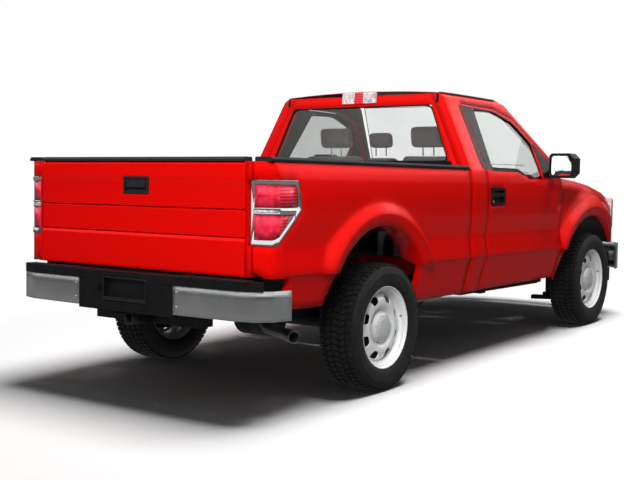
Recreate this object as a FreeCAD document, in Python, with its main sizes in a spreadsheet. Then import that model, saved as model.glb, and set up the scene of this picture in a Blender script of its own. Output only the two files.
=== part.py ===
import FreeCAD, Part
import math
import os

import Sketcher

# Pickup truck, regular cab with short bed, standing on its wheels. Millimetres.
# The body is drawn level, with x = 0 over the rear axle, x forward, y to the left and z = 0 at the
# road. It then takes the slight nose-down rake at which the truck stands on its springs. Wheels,
# axles and suspension are drawn level on the road.

Vector = FreeCAD.Vector

# Driving dimensions. Each has a name of its own and is written once.
SIZES = {
    # Stance and clearances
    "rake_angle": 1.5,
    "wheelbase": 3200,
    "track": 1702,
    "panel_gap": 6,
    "fit_gap": 0.3,
    "glass_thick": 5,
    "sheet_thick": 6,
    # Tyre and wheel, widths measured from the wheel's middle plane
    "tyre_radius": 381,
    "tyre_shoulder_radius": 364,
    "tyre_half_width": 125,
    "tread_half_width": 108,
    "bead_half_width": 104,
    "rim_radius": 236,
    "rim_lip": 10,
    "rim_face": 107,
    "disc_depth": 58,
    "disc_thick": 20,
    "hub_bore": 34,
    "cap_radius": 96,
    "cap_face": 90,
    "hole_circle": 166,
    "hole_wide": 80,
    "hole_tall": 46,
    "hole_corner": 14,
    "hole_count": 8,
    "barrel_sides": 40,
    "cap_sides": 24,
    # Side section of the body, half widths and heights
    "sill_y": 896,
    "sill_z": 500,
    "crease_y": 958,
    "crease_low_z": 733,
    "crease_top_y": 968,
    "crease_top_z": 746,
    "line_y": 948,
    "line_z": 897,
    "waist_y": 966,
    "waist_z": 1150,
    "belt_y": 938,
    "belt_z": 1332,
    "glass_top_y": 706,
    "glass_top_z": 1798,
    "gutter_y": 645,
    "gutter_z": 1862,
    "door_thick": 105,
    "frame_thick": 30,
    "pillar_thick": 88,
    # Cab, lengths from the rear axle
    "cab_rear": 1048,
    "cab_rear_top": 1100,
    "back_thick": 55,
    "cab_floor_z": 590,
    "floor_thick": 25,
    "firewall_x": 2640,
    "toe_x": 2470,
    "toe_z": 850,
    "firewall_top": 1232,
    "pillar_foot_x": 2640,
    "pillar_foot_z": 1290,
    "pillar_top_x": 1985,
    "pillar_top_z": 1862,
    "roof_crown": 28,
    "roof_sheet": 4,
    "crown_strips": 8,
    "roof_front": 1990,
    "roof_rise": 4,
    "sill_inner_y": 770,
    "sill_top_z": 610,
    "sill_low_z": 478,
    "hinge_gap": 24,
    "pillar_in_y": 812,
    "pillar_out_y": 862,
    # Door outline
    "door_rear_low": 1262,
    "door_rear_belt": 1284,
    "door_rear_top": 1322,
    "door_front": 2517,
    "door_low_z": 506,
    "door_front_low_z": 520,
    "door_head_x": 1790,
    "door_head_z": 1793,
    "door_brow_x": 2052,
    "door_brow_z": 1729,
    "door_nose_x": 2255,
    "door_nose_z": 1560,
    "door_corner_z": 1338,
    "door_shoulder_z": 1300,
    "glass_rear_low": 1374,
    "glass_rear_high": 1462,
    "glass_head_x": 1790,
    "glass_head_z": 1768,
    "glass_brow_x": 2030,
    "glass_brow_z": 1704,
    "glass_nose_x": 2214,
    "glass_nose_z": 1550,
    "glass_front_x": 2166,
    "glass_kick_z": 1286,
    "glass_kick_x": 1935,
    "glass_belt_x": 1786,
    "glass_belt_z": 1345,
    "hinge_back": 75,
    "hinge_y": 944,
    "door_hinge_low": 775,
    "door_hinge_high": 1090,
    "strap_half": 20,
    "strap_reach": 80,
    "strap_wide": 12,
    "swing_room": 5,
    "sill_notch": 826,
    "strap_pin": 6,
    "strap_pin_out": 18,
    # Rear window and windshield
    "rear_glass_low_z": 1386,
    "rear_glass_high_z": 1784,
    "rear_glass_low_y": 762,
    "rear_glass_high_y": 596,
    "rear_glass_edge": 14,
    "shield_low_z": 1300,
    "shield_top_z": 1856,
    "shield_low_x": 2612,
    "shield_top_x": 1968,
    "shield_low_y": 852,
    "shield_top_y": 589,
    "shield_bow": 95,
    "shield_bow_top": 45,
    "shield_thick": 10,
    "stop_lamp_wide": 290,
    "stop_lamp_tall": 52,
    "stop_lamp_deep": 16,
    # Bed
    "bed_rear": -1098,
    "bed_front": 1024,
    "bed_inner_y": 825,
    "bed_floor_z": 790,
    "bed_floor_thick": 14,
    "bed_skirt_thick": 30,
    "bed_side_top": 1336,
    "bedside_low_z": 555,
    "bed_wall_x": 968,
    "bed_wall_thick": 40,
    "bed_rib_count": 12,
    "bed_rib_pitch": 104,
    "bed_rib_wide": 52,
    "bed_rib_tall": 9,
    "bed_floor_rear": -1036,
    "cap_tall": 24,
    "cap_wide": 112,
    "cap_y": 832,
    "corner_radius": 62,
    "wheelhouse_y": 640,
    "wheelhouse_wall": 12,
    # Arches, centres and radii
    "rear_arch_x": -73,
    "rear_arch_z": 460,
    "rear_arch_radius": 529,
    "rear_arch_front": 380,
    "front_arch_x": 3125,
    "front_arch_z": 393,
    "front_arch_radius": 604,
    "flare_y": 1000,
    "flare_lip_y": 978,
    "flare_inner_y": 915,
    "flare_ridge": 70,
    "flare_wide": 178,
    "flare_sink": 18,
    # Tailgate
    "gate_half": 790,
    "gate_face_x": -1125,
    "gate_thick": 70,
    "gate_low_z": 738,
    "gate_top_z": 1336,
    "gate_step": 7,
    "gate_line_top": 1238,
    "gate_line_mid": 1081,
    "gate_line_low": 922,
    "gate_hinge_x": -1110,
    "gate_hinge_z": 754,
    "gate_pin_in": 12,
    "gate_pin": 8,
    "gate_pin_long": 24,
    "handle_half": 98,
    "handle_low_z": 1156,
    "handle_top_z": 1251,
    "handle_deep": 24,
    "handle_recess": 12,
    # Tail lamps
    "lamp_inner_y": 812,
    "lamp_top_z": 1240,
    "lamp_low_z": 903,
    "lamp_front_top": -892,
    "lamp_front_mid": -868,
    "lamp_mid_z": 1082,
    "lamp_front_low": -1052,
    "lamp_proud": 4,
    "lamp_deep": 60,
    # Rear bumper
    "rear_bumper_face": -1208,
    "rear_bumper_low": 516,
    "rear_bumper_top": 673,
    "rear_bumper_half": 985,
    "rear_bumper_end": -966,
    "rear_bumper_bend_x": -1089,
    "rear_bumper_bend_y": 962,
    "rear_bumper_knee_y": 790,
    "rear_bumper_wall": 46,
    "pad_tall": 48,
    "pad_front": -1112,
    "pad_centre_half": 370,
    "pad_centre_deep": 40,
    "plate_half": 165,
    "plate_low": 575,
    "plate_top": 690,
    "plate_deep": 26,
    "ball_hole": 13,
    "ball_back": 62,
    "bumper_bracket_y": 520,
    # Front end
    "fender_rear": 2526,
    "fender_front": 3745,
    "nose_half": 900,
    "hood_rear": 2770,
    "hood_front": 3990,
    "hood_half_rear": 812,
    "hood_half_front": 780,
    "hood_edge_rear": 1300,
    "hood_edge_front": 1120,
    "hood_crown": 45,
    "hood_thick": 28,
    "hood_nose_back": 150,
    "hood_ear_y": 760,
    "hood_pin": 6,
    "hood_hinge_x": 2770,
    "hood_hinge_z": 1258,
    "grille_half": 548,
    "grille_low": 792,
    "grille_top": 1118,
    "grille_face": 4020,
    "grille_back": 3930,
    "grille_frame": 42,
    "grille_bar_count": 3,
    "grille_bar_tall": 44,
    "grille_slat": 10,
    "headlamp_low": 880,
    "headlamp_top": 1140,
    "headlamp_back": 3748,
    "headlamp_deep": 95,
    "headlamp_side_y": 902,
    "headlamp_face_x": 3985,
    "front_bumper_face": 4165,
    "front_bumper_half": 978,
    "front_bumper_corner_x": 3872,
    "front_bumper_corner_y": 900,
    "front_bumper_end": 3700,
    "front_bumper_low": 520,
    "front_bumper_top": 742,
    "front_bumper_wall": 42,
    "valance_low": 400,
    "valance_setback": 35,
    "support_x": 3800,
    "support_thick": 45,
    "support_half": 560,
    "support_low": 520,
    "support_top": 1060,
    "support_frame": 70,
    "liner_inner_y": 505,
    "liner_outer_y": 930,
    "liner_wall": 6,
    # Ladder frame
    "rail_y": 400,
    "rail_wide": 80,
    "rail_rear": -1060,
    "rail_front": 3990,
    "rail_tall": 150,
    "rail_low_z": 410,
    "kick_rear_x": 900,
    "kick_top_rear": 480,
    "kick_low_z": 575,
    "kick_end_x": -420,
    "rail_end_z": 530,
    "kick_front_x": 2450,
    "kick_top_front": 2800,
    "front_rail_z": 500,
    "cross_wide": 90,
    "cross_tall": 60,
    "mount_side": 70,
    # Axles and suspension, level with the road
    "axle_radius": 42,
    "diff_radius": 135,
    "diff_half": 120,
    "axle_flange": 75,
    "spring_y": 545,
    "spring_wide": 64,
    "spring_thick": 40,
    "leaf_steps": 8,
    "spring_front_x": 690,
    "spring_rear_x": -700,
    "spring_eye_z": 470,
    "spring_saddle": 60,
    "eye_radius": 30,
    "damper_radius": 30,
    "kingpin_y": 772,
    "kingpin_half": 155,
    "knuckle_radius": 26,
    "knuckle_arm": 34,
    "spindle_radius": 33,
    "arm_thick": 34,
    "arm_root_y": 482,
    "arm_root_half": 150,
    "arm_tip_half": 40,
    "strut_y": 600,
    "strut_radius": 48,
    "strut_top": 735,
    # Drive line, tank and exhaust
    "engine_rear": 2860,
    "engine_front": 3520,
    "engine_half": 290,
    "engine_low": 480,
    "engine_top": 1040,
    "gearbox_rear": 2200,
    "gearbox_half": 150,
    "gearbox_low": 430,
    "gearbox_top": 760,
    "shaft_radius": 42,
    "tank_rear": 760,
    "tank_front": 1700,
    "tank_inner_y": 500,
    "tank_outer_y": 762,
    "tank_low": 400,
    "tank_top": 535,
    "pipe_radius": 32,
    "pipe_sides": 16,
    "pipe_wall": 3,
    "pipe_y": -300,
    "pipe_z": 410,
    "muffler_radius": 88,
    "muffler_front": 1760,
    "muffler_rear": 1220,
    "tip_x": -822,
    "tip_y": -900,
    "tip_z": 428,
    # Hitch
    "hitch_face": -1174,
    "hitch_outer": 64,
    "hitch_bore": 51,
    "hitch_long": 220,
    "hitch_z": 427,
    "hitch_tube_x": -1010,
    "pin_back": 60,
    "pin_radius": 8.2,
    # Inside of the cab
    "dash_rear": 2330,
    "dash_low": 960,
    "dash_top": 1235,
    "dash_front": 2600,
    "wheel_x": 2185,
    "wheel_y": 390,
    "wheel_z": 1195,
    "wheel_tilt": 26,
    "wheel_rim": 186,
    "wheel_grip": 24,
    "wheel_sides": 24,
    "column_radius": 26,
    "column_long": 190,
    "seat_front": 1930,
    "seat_rear": 1400,
    "seat_low": 700,
    "seat_top": 940,
    "seat_half": 740,
    "seat_riser": 85,
    "back_lean": 110,
    "back_deep": 150,
    "back_top": 1475,
    "rest_y": 405,
    "rest_half": 155,
    "rest_small_half": 110,
    "rest_low": 1480,
    "rest_top": 1664,
    "rest_small_top": 1622,
    "rest_deep": 95,
    # Mirrors and door handles
    "mirror_inner": 1010,
    "mirror_outer": 1206,
    "mirror_face": 2150,
    "mirror_deep": 118,
    "mirror_low": 1294,
    "mirror_top": 1478,
    "mirror_corner": 38,
    "mirror_arm_low": 1300,
    "mirror_arm_top": 1352,
    "mirror_foot": 2300,
    "pull_rear": 1300,
    "pull_front": 1505,
    "pull_low": 1100,
    "pull_top": 1214,
    "pull_proud": 10,
    "pull_deep": 30,
    "pull_cup": 20,
    # Fuel door
    "fuel_x": 640,
    "fuel_z": 1180,
    "fuel_wide": 165,
    "fuel_tall": 165,
    "fuel_thick": 9,
    "fuel_pin": 2.5,
    "fuel_pin_in": 5,
    "fuel_pin_deep": 6,
    "fuel_pocket": 50,
    "fuel_gap": 4,
    # Cowl
    "cowl_low": 1205,
    "cowl_rear": 2650,
    "cowl_front": 2712,
}

document = FreeCAD.newDocument("PickupTruck")
sheet = document.addObject("Spreadsheet::Sheet", "Sizes")


class Dim:
    """A length kept both as a formula over the sheet and as its present value."""

    def __init__(self, text, value):
        self.text = text
        self.value = value

    def __add__(self, other):
        other = dim(other)
        return Dim("(" + self.text + " + " + other.text + ")", self.value + other.value)

    def __radd__(self, other):
        return dim(other) + self

    def __sub__(self, other):
        other = dim(other)
        return Dim("(" + self.text + " - " + other.text + ")", self.value - other.value)

    def __rsub__(self, other):
        return dim(other) - self

    def __mul__(self, other):
        other = dim(other)
        return Dim("(" + self.text + " * " + other.text + ")", self.value * other.value)

    def __rmul__(self, other):
        return dim(other) * self

    def __truediv__(self, other):
        other = dim(other)
        return Dim("(" + self.text + " / " + other.text + ")", self.value / other.value)

    def __neg__(self):
        return Dim("(-" + self.text + ")", -self.value)


def dim(value):
    """A plain number as a length; a length stays as it is."""
    if isinstance(value, Dim):
        return value
    return Dim("(" + repr(float(value)) + ")", float(value))


class Sizes:
    """The sheet's lengths by name."""

    def __getattr__(self, name):
        return Dim("Sizes." + name, float(SIZES[name]))


def fill_sheet():
    """Write every driving dimension to its own cell under its own name."""
    for row, (name, value) in enumerate(SIZES.items(), start=1):
        sheet.set("A" + str(row), name)
        sheet.set("B" + str(row), str(value))
        sheet.setAlias("B" + str(row), name)
    document.recompute()


fill_sheet()
S = Sizes()
subparts = []
level_parts = set()


# Helpers that make one object each

PLANES = {"plan": "XY_Plane", "side": "XZ_Plane", "front": "YZ_Plane"}


def bind(thing, prop, length):
    """Tie a property to the sheet."""
    thing.setExpression(prop, dim(length).text)


def place(thing, x, y, z):
    """Tie an object's position to the sheet."""
    bind(thing, "Placement.Base.x", x)
    bind(thing, "Placement.Base.y", y)
    bind(thing, "Placement.Base.z", z)


def block(name, x, y, z):
    """A box from three (low, high) pairs."""
    box = document.addObject("Part::Box", name)
    for prop, (low, high) in zip(("Length", "Width", "Height"), (x, y, z)):
        bind(box, prop, dim(high) - low)
    place(box, x[0], y[0], z[0])
    return box


def rod(name, axis, base, radius, length):
    """A cylinder along x, y or z from its base point."""
    turn = {
        "x": FreeCAD.Rotation(Vector(0, 1, 0), 90),
        "y": FreeCAD.Rotation(Vector(1, 0, 0), -90),
        "z": FreeCAD.Rotation(),
    }[axis]
    cylinder = document.addObject("Part::Cylinder", name)
    bind(cylinder, "Radius", radius)
    bind(cylinder, "Height", length)
    cylinder.Placement = FreeCAD.Placement(Vector(), turn)
    place(cylinder, *base)
    return cylinder


def faceted_rod(name, axis, base, radius, length, sides):
    """A many-sided rod along x, y or z from its base point, its corners on the radius."""
    turn = {
        "x": FreeCAD.Rotation(Vector(0, 1, 0), 90),
        "y": FreeCAD.Rotation(Vector(1, 0, 0), -90),
        "z": FreeCAD.Rotation(),
    }[axis]
    rod_body = document.addObject("Part::Prism", name)
    rod_body.Polygon = int(sides)
    bind(rod_body, "Circumradius", radius)
    bind(rod_body, "Height", length)
    rod_body.Placement = FreeCAD.Placement(Vector(), turn)
    place(rod_body, *base)
    return rod_body


def sketch_on(body, name, plane, points, start=0):
    """A closed outline on an origin plane, every corner tied to the sheet."""
    sketch = body.newObject("Sketcher::SketchObject", name)
    role = PLANES[plane]
    datum = [item for item in body.Origin.OriginFeatures if item.Role == role][0]
    sketch.AttachmentSupport = [(datum, "")]
    sketch.MapMode = "FlatFace"
    sign = -1 if plane == "side" else 1
    bind(sketch, "AttachmentOffset.Base.z", dim(start) * sign)
    corners = [(dim(a), dim(b)) for a, b in points]
    spots = [Vector(a.value, b.value, 0) for a, b in corners]
    count = len(spots)
    for index in range(count):
        sketch.addGeometry(Part.LineSegment(spots[index], spots[(index + 1) % count]))
    for index in range(count):
        sketch.addConstraint(Sketcher.Constraint("Coincident", index, 2, (index + 1) % count, 1))
    for index, corner in enumerate(corners):
        for kind, length in zip(("DistanceX", "DistanceY"), corner):
            rule = Sketcher.Constraint(kind, -1, 1, index, 1, length.value)
            number = sketch.addConstraint(rule)
            sketch.setExpression("Constraints[" + str(number) + "]", length.text)
    return sketch


def prism(name, plane, points, low, high):
    """A body padded from one outline, from low to high along the plane's third axis."""
    body = document.addObject("PartDesign::Body", name)
    sketch = sketch_on(body, name + "_outline", plane, points, low)
    pad = body.newObject("PartDesign::Pad", name + "_pad")
    pad.Profile = sketch
    bind(pad, "Length", dim(high) - low)
    pad.Reversed = plane == "side"
    sketch.Visibility = False
    return body


def turned(name, axis_point, points, angle=360):
    """A body turned about a line along y through (x, z): points are (y, radius)."""
    body = document.addObject("PartDesign::Body", name)
    sketch = sketch_on(body, name + "_outline", "front", points)
    turn = body.newObject("PartDesign::Revolution", name + "_turn")
    turn.Profile = sketch
    turn.ReferenceAxis = (sketch, ["H_Axis"])
    turn.Angle = angle
    place(body, axis_point[0], 0, axis_point[1])
    return body


def cut(name, base, *tools):
    """What is left of base once each tool is taken away."""
    result = base
    for number, tool in enumerate(tools, start=1):
        step = document.addObject("Part::Cut", name if number == len(tools) else name + "_less")
        step.Base = result
        step.Tool = tool
        result = step
    return result


def join(name, *pieces):
    """Several solids as one."""
    fused = document.addObject("Part::MultiFuse", name)
    fused.Shapes = list(pieces)
    fused.Refine = True
    return fused


def group(name, *pieces):
    """Separate like solids that share a sub-part."""
    compound = document.addObject("Part::Compound", name)
    compound.Links = list(pieces)
    return compound


def common(name, first, second):
    """What two solids share."""
    shared = document.addObject("Part::Common", name)
    shared.Base = first
    shared.Tool = second
    return shared


def mirror(name, source):
    """The same solid on the other side of the truck."""
    other = document.addObject("Part::Mirroring", name)
    other.Source = source
    other.Normal = Vector(0, 1, 0)
    return other


def skin(name, shape):
    """A solid with free-form faces, made from the sheet's sizes."""
    feature = document.addObject("Part::Feature", name)
    feature.Shape = shape
    return feature


def subpart(node, thing, level=False):
    """Name the finished object after its node and note how it stands."""
    thing.Label = node
    subparts.append((node, thing))
    if level:
        level_parts.add(node)
    return thing


# Side section of the body, shared by bed, cab, doors and fuel door

def lower_side_line():
    """Outer side of the body from sill to belt as (y, z) corners, the waist as a shallow arc."""
    waist_low_y = S.waist_y - 5
    waist_low_z = (S.line_z + S.waist_z) / 2
    waist_high_y = S.waist_y - 8
    waist_high_z = (S.waist_z + S.belt_z) / 2 + 8
    return [
        (S.sill_y, S.sill_z),
        (S.crease_y, S.crease_low_z),
        (S.crease_top_y, S.crease_top_z),
        (S.line_y, S.line_z),
        (waist_low_y, waist_low_z),
        (S.waist_y, S.waist_z),
        (waist_high_y, waist_high_z),
        (S.belt_y, S.belt_z),
    ]


def upper_side_line():
    """Outer side of the greenhouse from the belt up to the roof gutter."""
    return [
        (S.glass_top_y, S.glass_top_z),
        (S.glass_top_y - 20, S.glass_top_z + 38),
        (S.gutter_y, S.gutter_z),
    ]


# Wheels and tyres

def wheel_solids(tag, x, y_sign):
    """Tyre and wheel at one corner; y_sign is 1 on the left."""
    middle = S.track / 2 * y_sign
    tyre_profile = [
        (-S.tyre_half_width, S.rim_radius + S.fit_gap),
        (-S.tyre_half_width, S.tyre_shoulder_radius),
        (-S.tread_half_width, S.tyre_radius),
        (S.tread_half_width, S.tyre_radius),
        (S.tyre_half_width, S.tyre_shoulder_radius),
        (S.tyre_half_width, S.rim_radius + S.fit_gap),
    ]
    tyre = turned("tyre_" + tag, (x, S.tyre_radius), tyre_profile)
    bind(tyre, "Placement.Base.y", middle)
    disc_back = S.disc_depth - S.disc_thick
    barrel_sides = SIZES["barrel_sides"]
    cap_sides = SIZES["cap_sides"]

    def band(part_name, near, far, radius, sides):
        """A many-sided ring blank from near to far of the wheel's middle plane."""
        low = near if y_sign > 0 else -far
        return faceted_rod("rim_" + part_name + "_" + tag, "y", (x, middle + low, S.tyre_radius), radius,
                           dim(far) - near, sides)

    barrel = band("barrel", -S.bead_half_width, S.rim_face, S.rim_radius, barrel_sides)
    well_front = band("well_front", S.disc_depth, S.rim_face + 5, S.rim_radius - S.rim_lip, barrel_sides)
    well_back = band("well_back", -S.bead_half_width - 5, disc_back, S.rim_radius - S.rim_lip,
                     barrel_sides)
    cap = band("cap", disc_back, S.cap_face, S.cap_radius, cap_sides)
    rim = join("rim_blank_" + tag, cut("rim_dished_" + tag, barrel, well_front, well_back), cap)
    inner = S.hole_circle - S.hole_tall / 2
    outer = S.hole_circle + S.hole_tall / 2
    half = S.hole_wide / 2
    narrow = half - S.hole_corner
    opening = prism(
        "rim_opening_" + tag,
        "side",
        [
            (-narrow, inner),
            (narrow, inner),
            (half - S.hole_corner / 2, inner + S.hole_corner),
            (half, outer - S.hole_corner),
            (narrow, outer),
            (-narrow, outer),
            (-half, outer - S.hole_corner),
            (-half + S.hole_corner / 2, inner + S.hole_corner),
        ],
        -S.rim_face,
        S.rim_face,
    )
    pattern = document.addObject("Part::Feature", "rim_openings_" + tag)
    document.recompute()
    count = int(SIZES["hole_count"])
    copies = []
    for index in range(count):
        piece = opening.Shape.copy()
        piece.rotate(Vector(), Vector(0, 1, 0), index * 360.0 / count)
        copies.append(piece)
    pattern.Shape = Part.makeCompound(copies)
    place(pattern, x, middle, S.tyre_radius)
    drilled = cut("rim_drilled_" + tag, rim, pattern)
    bore = rod("rim_bore_" + tag, "y", (x, middle + y_sign * disc_back - 12, S.tyre_radius),
               S.hub_bore, 24)
    finished = cut("rim_" + tag, drilled, bore)
    subpart("tyre_" + tag, tyre, True)
    subpart("rim_" + tag, finished, True)


for corner, corner_x in (("rear", dim(0)), ("front", S.wheelbase)):
    wheel_solids(corner + "_left", corner_x, 1)
    wheel_solids(corner + "_right", corner_x, -1)


# Cab: sides, back panel, roof, floor with firewall

cab_section = (
    lower_side_line()
    + upper_side_line()
    + [
        (S.gutter_y - 46, S.gutter_z),
        (S.gutter_y - 46, S.gutter_z - 26),
        (S.belt_y - S.pillar_thick, S.belt_z),
        (S.belt_y - S.pillar_thick, S.sill_z),
    ]
)
cab_side_run = prism("cab_side_run", "front", cab_section, S.cab_rear, S.pillar_foot_x + 60)
cab_side_outline = prism(
    "cab_side_outline",
    "side",
    [
        (S.cab_rear, S.sill_z),
        (S.firewall_x - 70, S.sill_z + 20),
        (S.firewall_x, S.toe_z),
        (S.pillar_foot_x + 55, S.pillar_foot_z - 60),
        (S.pillar_foot_x, S.pillar_foot_z),
        (S.pillar_top_x, S.pillar_top_z),
        (S.cab_rear_top, S.gutter_z),
        (S.cab_rear, S.belt_z),
    ],
    0,
    S.flare_y,
)


def door_outline(name, gap, hinge_gap):
    """Side view of the door, grown by the gap all round, and by hinge_gap at its front edge."""
    return prism(
        name,
        "side",
        [
            (S.door_rear_low - gap, S.door_low_z - gap * 4),
            (S.door_front + hinge_gap, S.door_front_low_z - gap * 4),
            (S.door_front + hinge_gap, S.door_shoulder_z),
            (S.door_front - 12 + gap, S.door_corner_z + gap),
            (S.door_nose_x + gap, S.door_nose_z + gap),
            (S.door_brow_x + gap, S.door_brow_z + gap),
            (S.door_head_x, S.door_head_z + gap),
            (S.door_rear_top - gap, S.glass_top_z + gap),
            (S.door_rear_belt - gap, S.belt_z),
        ],
        0,
        S.flare_y,
    )


cab_doorway = door_outline("cab_doorway", S.panel_gap, S.hinge_gap)
fender_cover = block(
    "fender_cover",
    (S.door_front, S.pillar_foot_x + 120),
    (S.pillar_out_y, S.flare_y),
    (S.sill_z - 50, S.hood_edge_rear + 4),
)
hinge_pillar = block(
    "hinge_pillar",
    (S.door_front + 10, S.firewall_x),
    (S.pillar_in_y, S.pillar_out_y),
    (S.sill_z + 20, S.shield_low_z - 4),
)
cab_side_blank = common("cab_side_blank", cab_side_run, cab_side_outline)
door_straps = []
door_pockets = []
for hinge_name, hinge_z in (("low", S.door_hinge_low), ("high", S.door_hinge_high)):
    hinge_x = S.door_front - S.hinge_back
    pillar_face = S.door_front + 10
    strap = prism(
        "strap_" + hinge_name,
        "plan",
        [
            (hinge_x - 3, S.hinge_y + 7),
            (hinge_x - 7, S.hinge_y + 3),
            (hinge_x - 7, S.hinge_y - S.strap_reach),
            (pillar_face + 2, S.hinge_y - S.strap_reach),
            (pillar_face + 2, S.pillar_out_y - 12),
            (pillar_face + 20, S.pillar_out_y - 12),
            (pillar_face + 20, S.hinge_y - S.strap_reach + S.strap_wide),
            (hinge_x + 7, S.hinge_y - S.strap_reach + S.strap_wide),
            (hinge_x + 7, S.hinge_y + 3),
            (hinge_x + 3, S.hinge_y + 7),
        ],
        hinge_z - S.strap_half,
        hinge_z + S.strap_half,
    )
    strap_pin = rod("strap_pin_" + hinge_name, "z",
                    (hinge_x, S.hinge_y, hinge_z - S.strap_half - S.strap_pin_out), S.strap_pin,
                    S.strap_half * 2 + S.strap_pin_out * 2)
    door_straps += [strap, strap_pin]
    pocket = block("strap_pocket_" + hinge_name, (hinge_x - 7 - S.swing_room, S.door_front + 20),
                   (S.belt_y - S.door_thick - 20, S.hinge_y + 13),
                   (hinge_z - S.strap_half - S.swing_room, hinge_z + S.strap_half + S.swing_room))
    bore = rod("strap_bore_" + hinge_name, "z",
               (hinge_x, S.hinge_y, hinge_z - S.strap_half - S.strap_pin_out - 3),
               S.strap_pin + S.fit_gap, S.strap_half * 2 + S.strap_pin_out * 2 + 6)
    door_pockets += [pocket, bore]
cab_side_left = join("cab_side_left", cut("cab_side_frame", cab_side_blank, cab_doorway, fender_cover),
                     hinge_pillar, *door_straps)
cab_side_right = mirror("cab_side_right", cab_side_left)
subpart("cab_side_left", cab_side_left)
subpart("cab_side_right", cab_side_right)

cab_inner_y = S.belt_y - S.pillar_thick - S.fit_gap
cab_room = prism(
    "cab_room",
    "front",
    [
        (-cab_inner_y, S.sill_low_z),
        (cab_inner_y, S.sill_low_z),
        (cab_inner_y, S.belt_z),
        (S.gutter_y - 46 - S.fit_gap, S.gutter_z - 26),
        (S.gutter_y - 46 - S.fit_gap, S.gutter_z),
        (-(S.gutter_y - 46 - S.fit_gap), S.gutter_z),
        (-(S.gutter_y - 46 - S.fit_gap), S.gutter_z - 26),
        (-cab_inner_y, S.belt_z),
    ],
    S.cab_rear,
    S.firewall_x + 200,
)

back_profile = [
    (S.cab_rear, S.cab_floor_z),
    (S.cab_rear + S.back_thick, S.cab_floor_z),
    (S.cab_rear + S.back_thick, S.belt_z),
    (S.cab_rear_top + S.back_thick, S.gutter_z - 3),
    (S.cab_rear_top, S.gutter_z - 3),
    (S.cab_rear, S.belt_z),
]
back_plate = prism("back_plate", "side", back_profile, -S.belt_y, S.belt_y)
back_blank = common("back_blank", back_plate, cab_room)
rear_opening = prism(
    "rear_opening",
    "front",
    [
        (-S.rear_glass_low_y, S.rear_glass_low_z),
        (S.rear_glass_low_y, S.rear_glass_low_z),
        (S.rear_glass_high_y, S.rear_glass_high_z),
        (-S.rear_glass_high_y, S.rear_glass_high_z),
    ],
    S.cab_rear - 20,
    S.cab_rear_top + 100,
)
subpart("cab_back_panel", cut("cab_back_panel", back_blank, rear_opening))

glass_lean = (S.cab_rear_top - S.cab_rear) / (S.gutter_z - S.belt_z)
glass_foot = S.cab_rear + glass_lean * (S.rear_glass_low_z - S.belt_z) + 8
glass_head = S.cab_rear + glass_lean * (S.rear_glass_high_z - S.belt_z) + 8
rear_glass_run = prism(
    "rear_glass_run",
    "side",
    [
        (glass_foot, S.rear_glass_low_z),
        (glass_foot + S.glass_thick, S.rear_glass_low_z),
        (glass_head + S.glass_thick, S.rear_glass_high_z),
        (glass_head, S.rear_glass_high_z),
    ],
    -S.belt_y,
    S.belt_y,
)
rear_glass_trim = prism(
    "rear_glass_trim",
    "front",
    [
        (-S.rear_glass_low_y + S.fit_gap, S.rear_glass_low_z + S.fit_gap),
        (S.rear_glass_low_y - S.fit_gap, S.rear_glass_low_z + S.fit_gap),
        (S.rear_glass_high_y - S.fit_gap, S.rear_glass_high_z - S.fit_gap),
        (-S.rear_glass_high_y + S.fit_gap, S.rear_glass_high_z - S.fit_gap),
    ],
    S.cab_rear - 20,
    S.cab_rear_top + 100,
)
subpart("rear_window", common("rear_window", rear_glass_run, rear_glass_trim))


def crowned(x, half, z, crown, thick, inset=0):
    """Closed outline across the truck: crowned top of straight strips over a parallel underside."""
    strips = int(SIZES["crown_strips"])
    shares = [2.0 * step / strips - 1 for step in range(strips + 1)]
    top = [(x, half * share, z + crown * (1 - share * share)) for share in shares]
    under = [(x, (half - inset) * share, z - thick + crown * (1 - share * share))
             for share in reversed(shares)]
    return top + under


def ruled_loft(outlines):
    """A solid of straight-ruled faces through closed outlines of equally many corners."""
    wires = []
    for corners in outlines:
        loop = [Vector(*corner) for corner in corners]
        wires.append(Part.makePolygon(loop + [loop[0]]))
    return Part.makeLoft(wires, True, True)


def roof_shape():
    """Doubly crowned roof panel between the two gutters."""
    half = SIZES["gutter_y"] - SIZES["fit_gap"]
    edge = SIZES["gutter_z"] + SIZES["fit_gap"] + SIZES["roof_sheet"]
    rear = SIZES["cab_rear_top"]
    front = SIZES["roof_front"]
    crown = SIZES["roof_crown"] - SIZES["roof_sheet"]
    outlines = []
    for share in (0.0, 0.12, 0.5, 0.85, 1.0):
        lift = SIZES["roof_rise"] * math.sin(math.pi * share)
        outlines.append(crowned(rear + (front - rear) * share, half, edge + lift, crown,
                                SIZES["roof_sheet"] + lift))
    return ruled_loft(outlines)


subpart("roof_panel", skin("roof_panel", roof_shape()))

floor_profile = [
    (S.cab_rear + S.back_thick + S.fit_gap, S.cab_floor_z),
    (S.toe_x, S.cab_floor_z),
    (S.firewall_x, S.toe_z),
    (S.firewall_x, S.firewall_top),
    (S.firewall_x - S.floor_thick, S.firewall_top),
    (S.firewall_x - S.floor_thick, S.toe_z + 8),
    (S.toe_x - 10, S.cab_floor_z + S.floor_thick),
    (S.cab_rear + S.back_thick + S.fit_gap, S.cab_floor_z + S.floor_thick),
]
floor_pan = prism("floor_pan", "side", floor_profile, -S.sill_inner_y - 40, S.sill_inner_y + 40)
sills = []
for side_name, sign in (("left", 1), ("right", -1)):
    pair = [S.sill_inner_y * sign, (cab_inner_y - 0.0) * sign]
    if sign < 0:
        pair.reverse()
    sills.append(block("sill_" + side_name, (S.cab_rear + S.back_thick + S.fit_gap, S.toe_x),
                       tuple(pair), (S.sill_low_z, S.sill_top_z)))
notches = []
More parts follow.
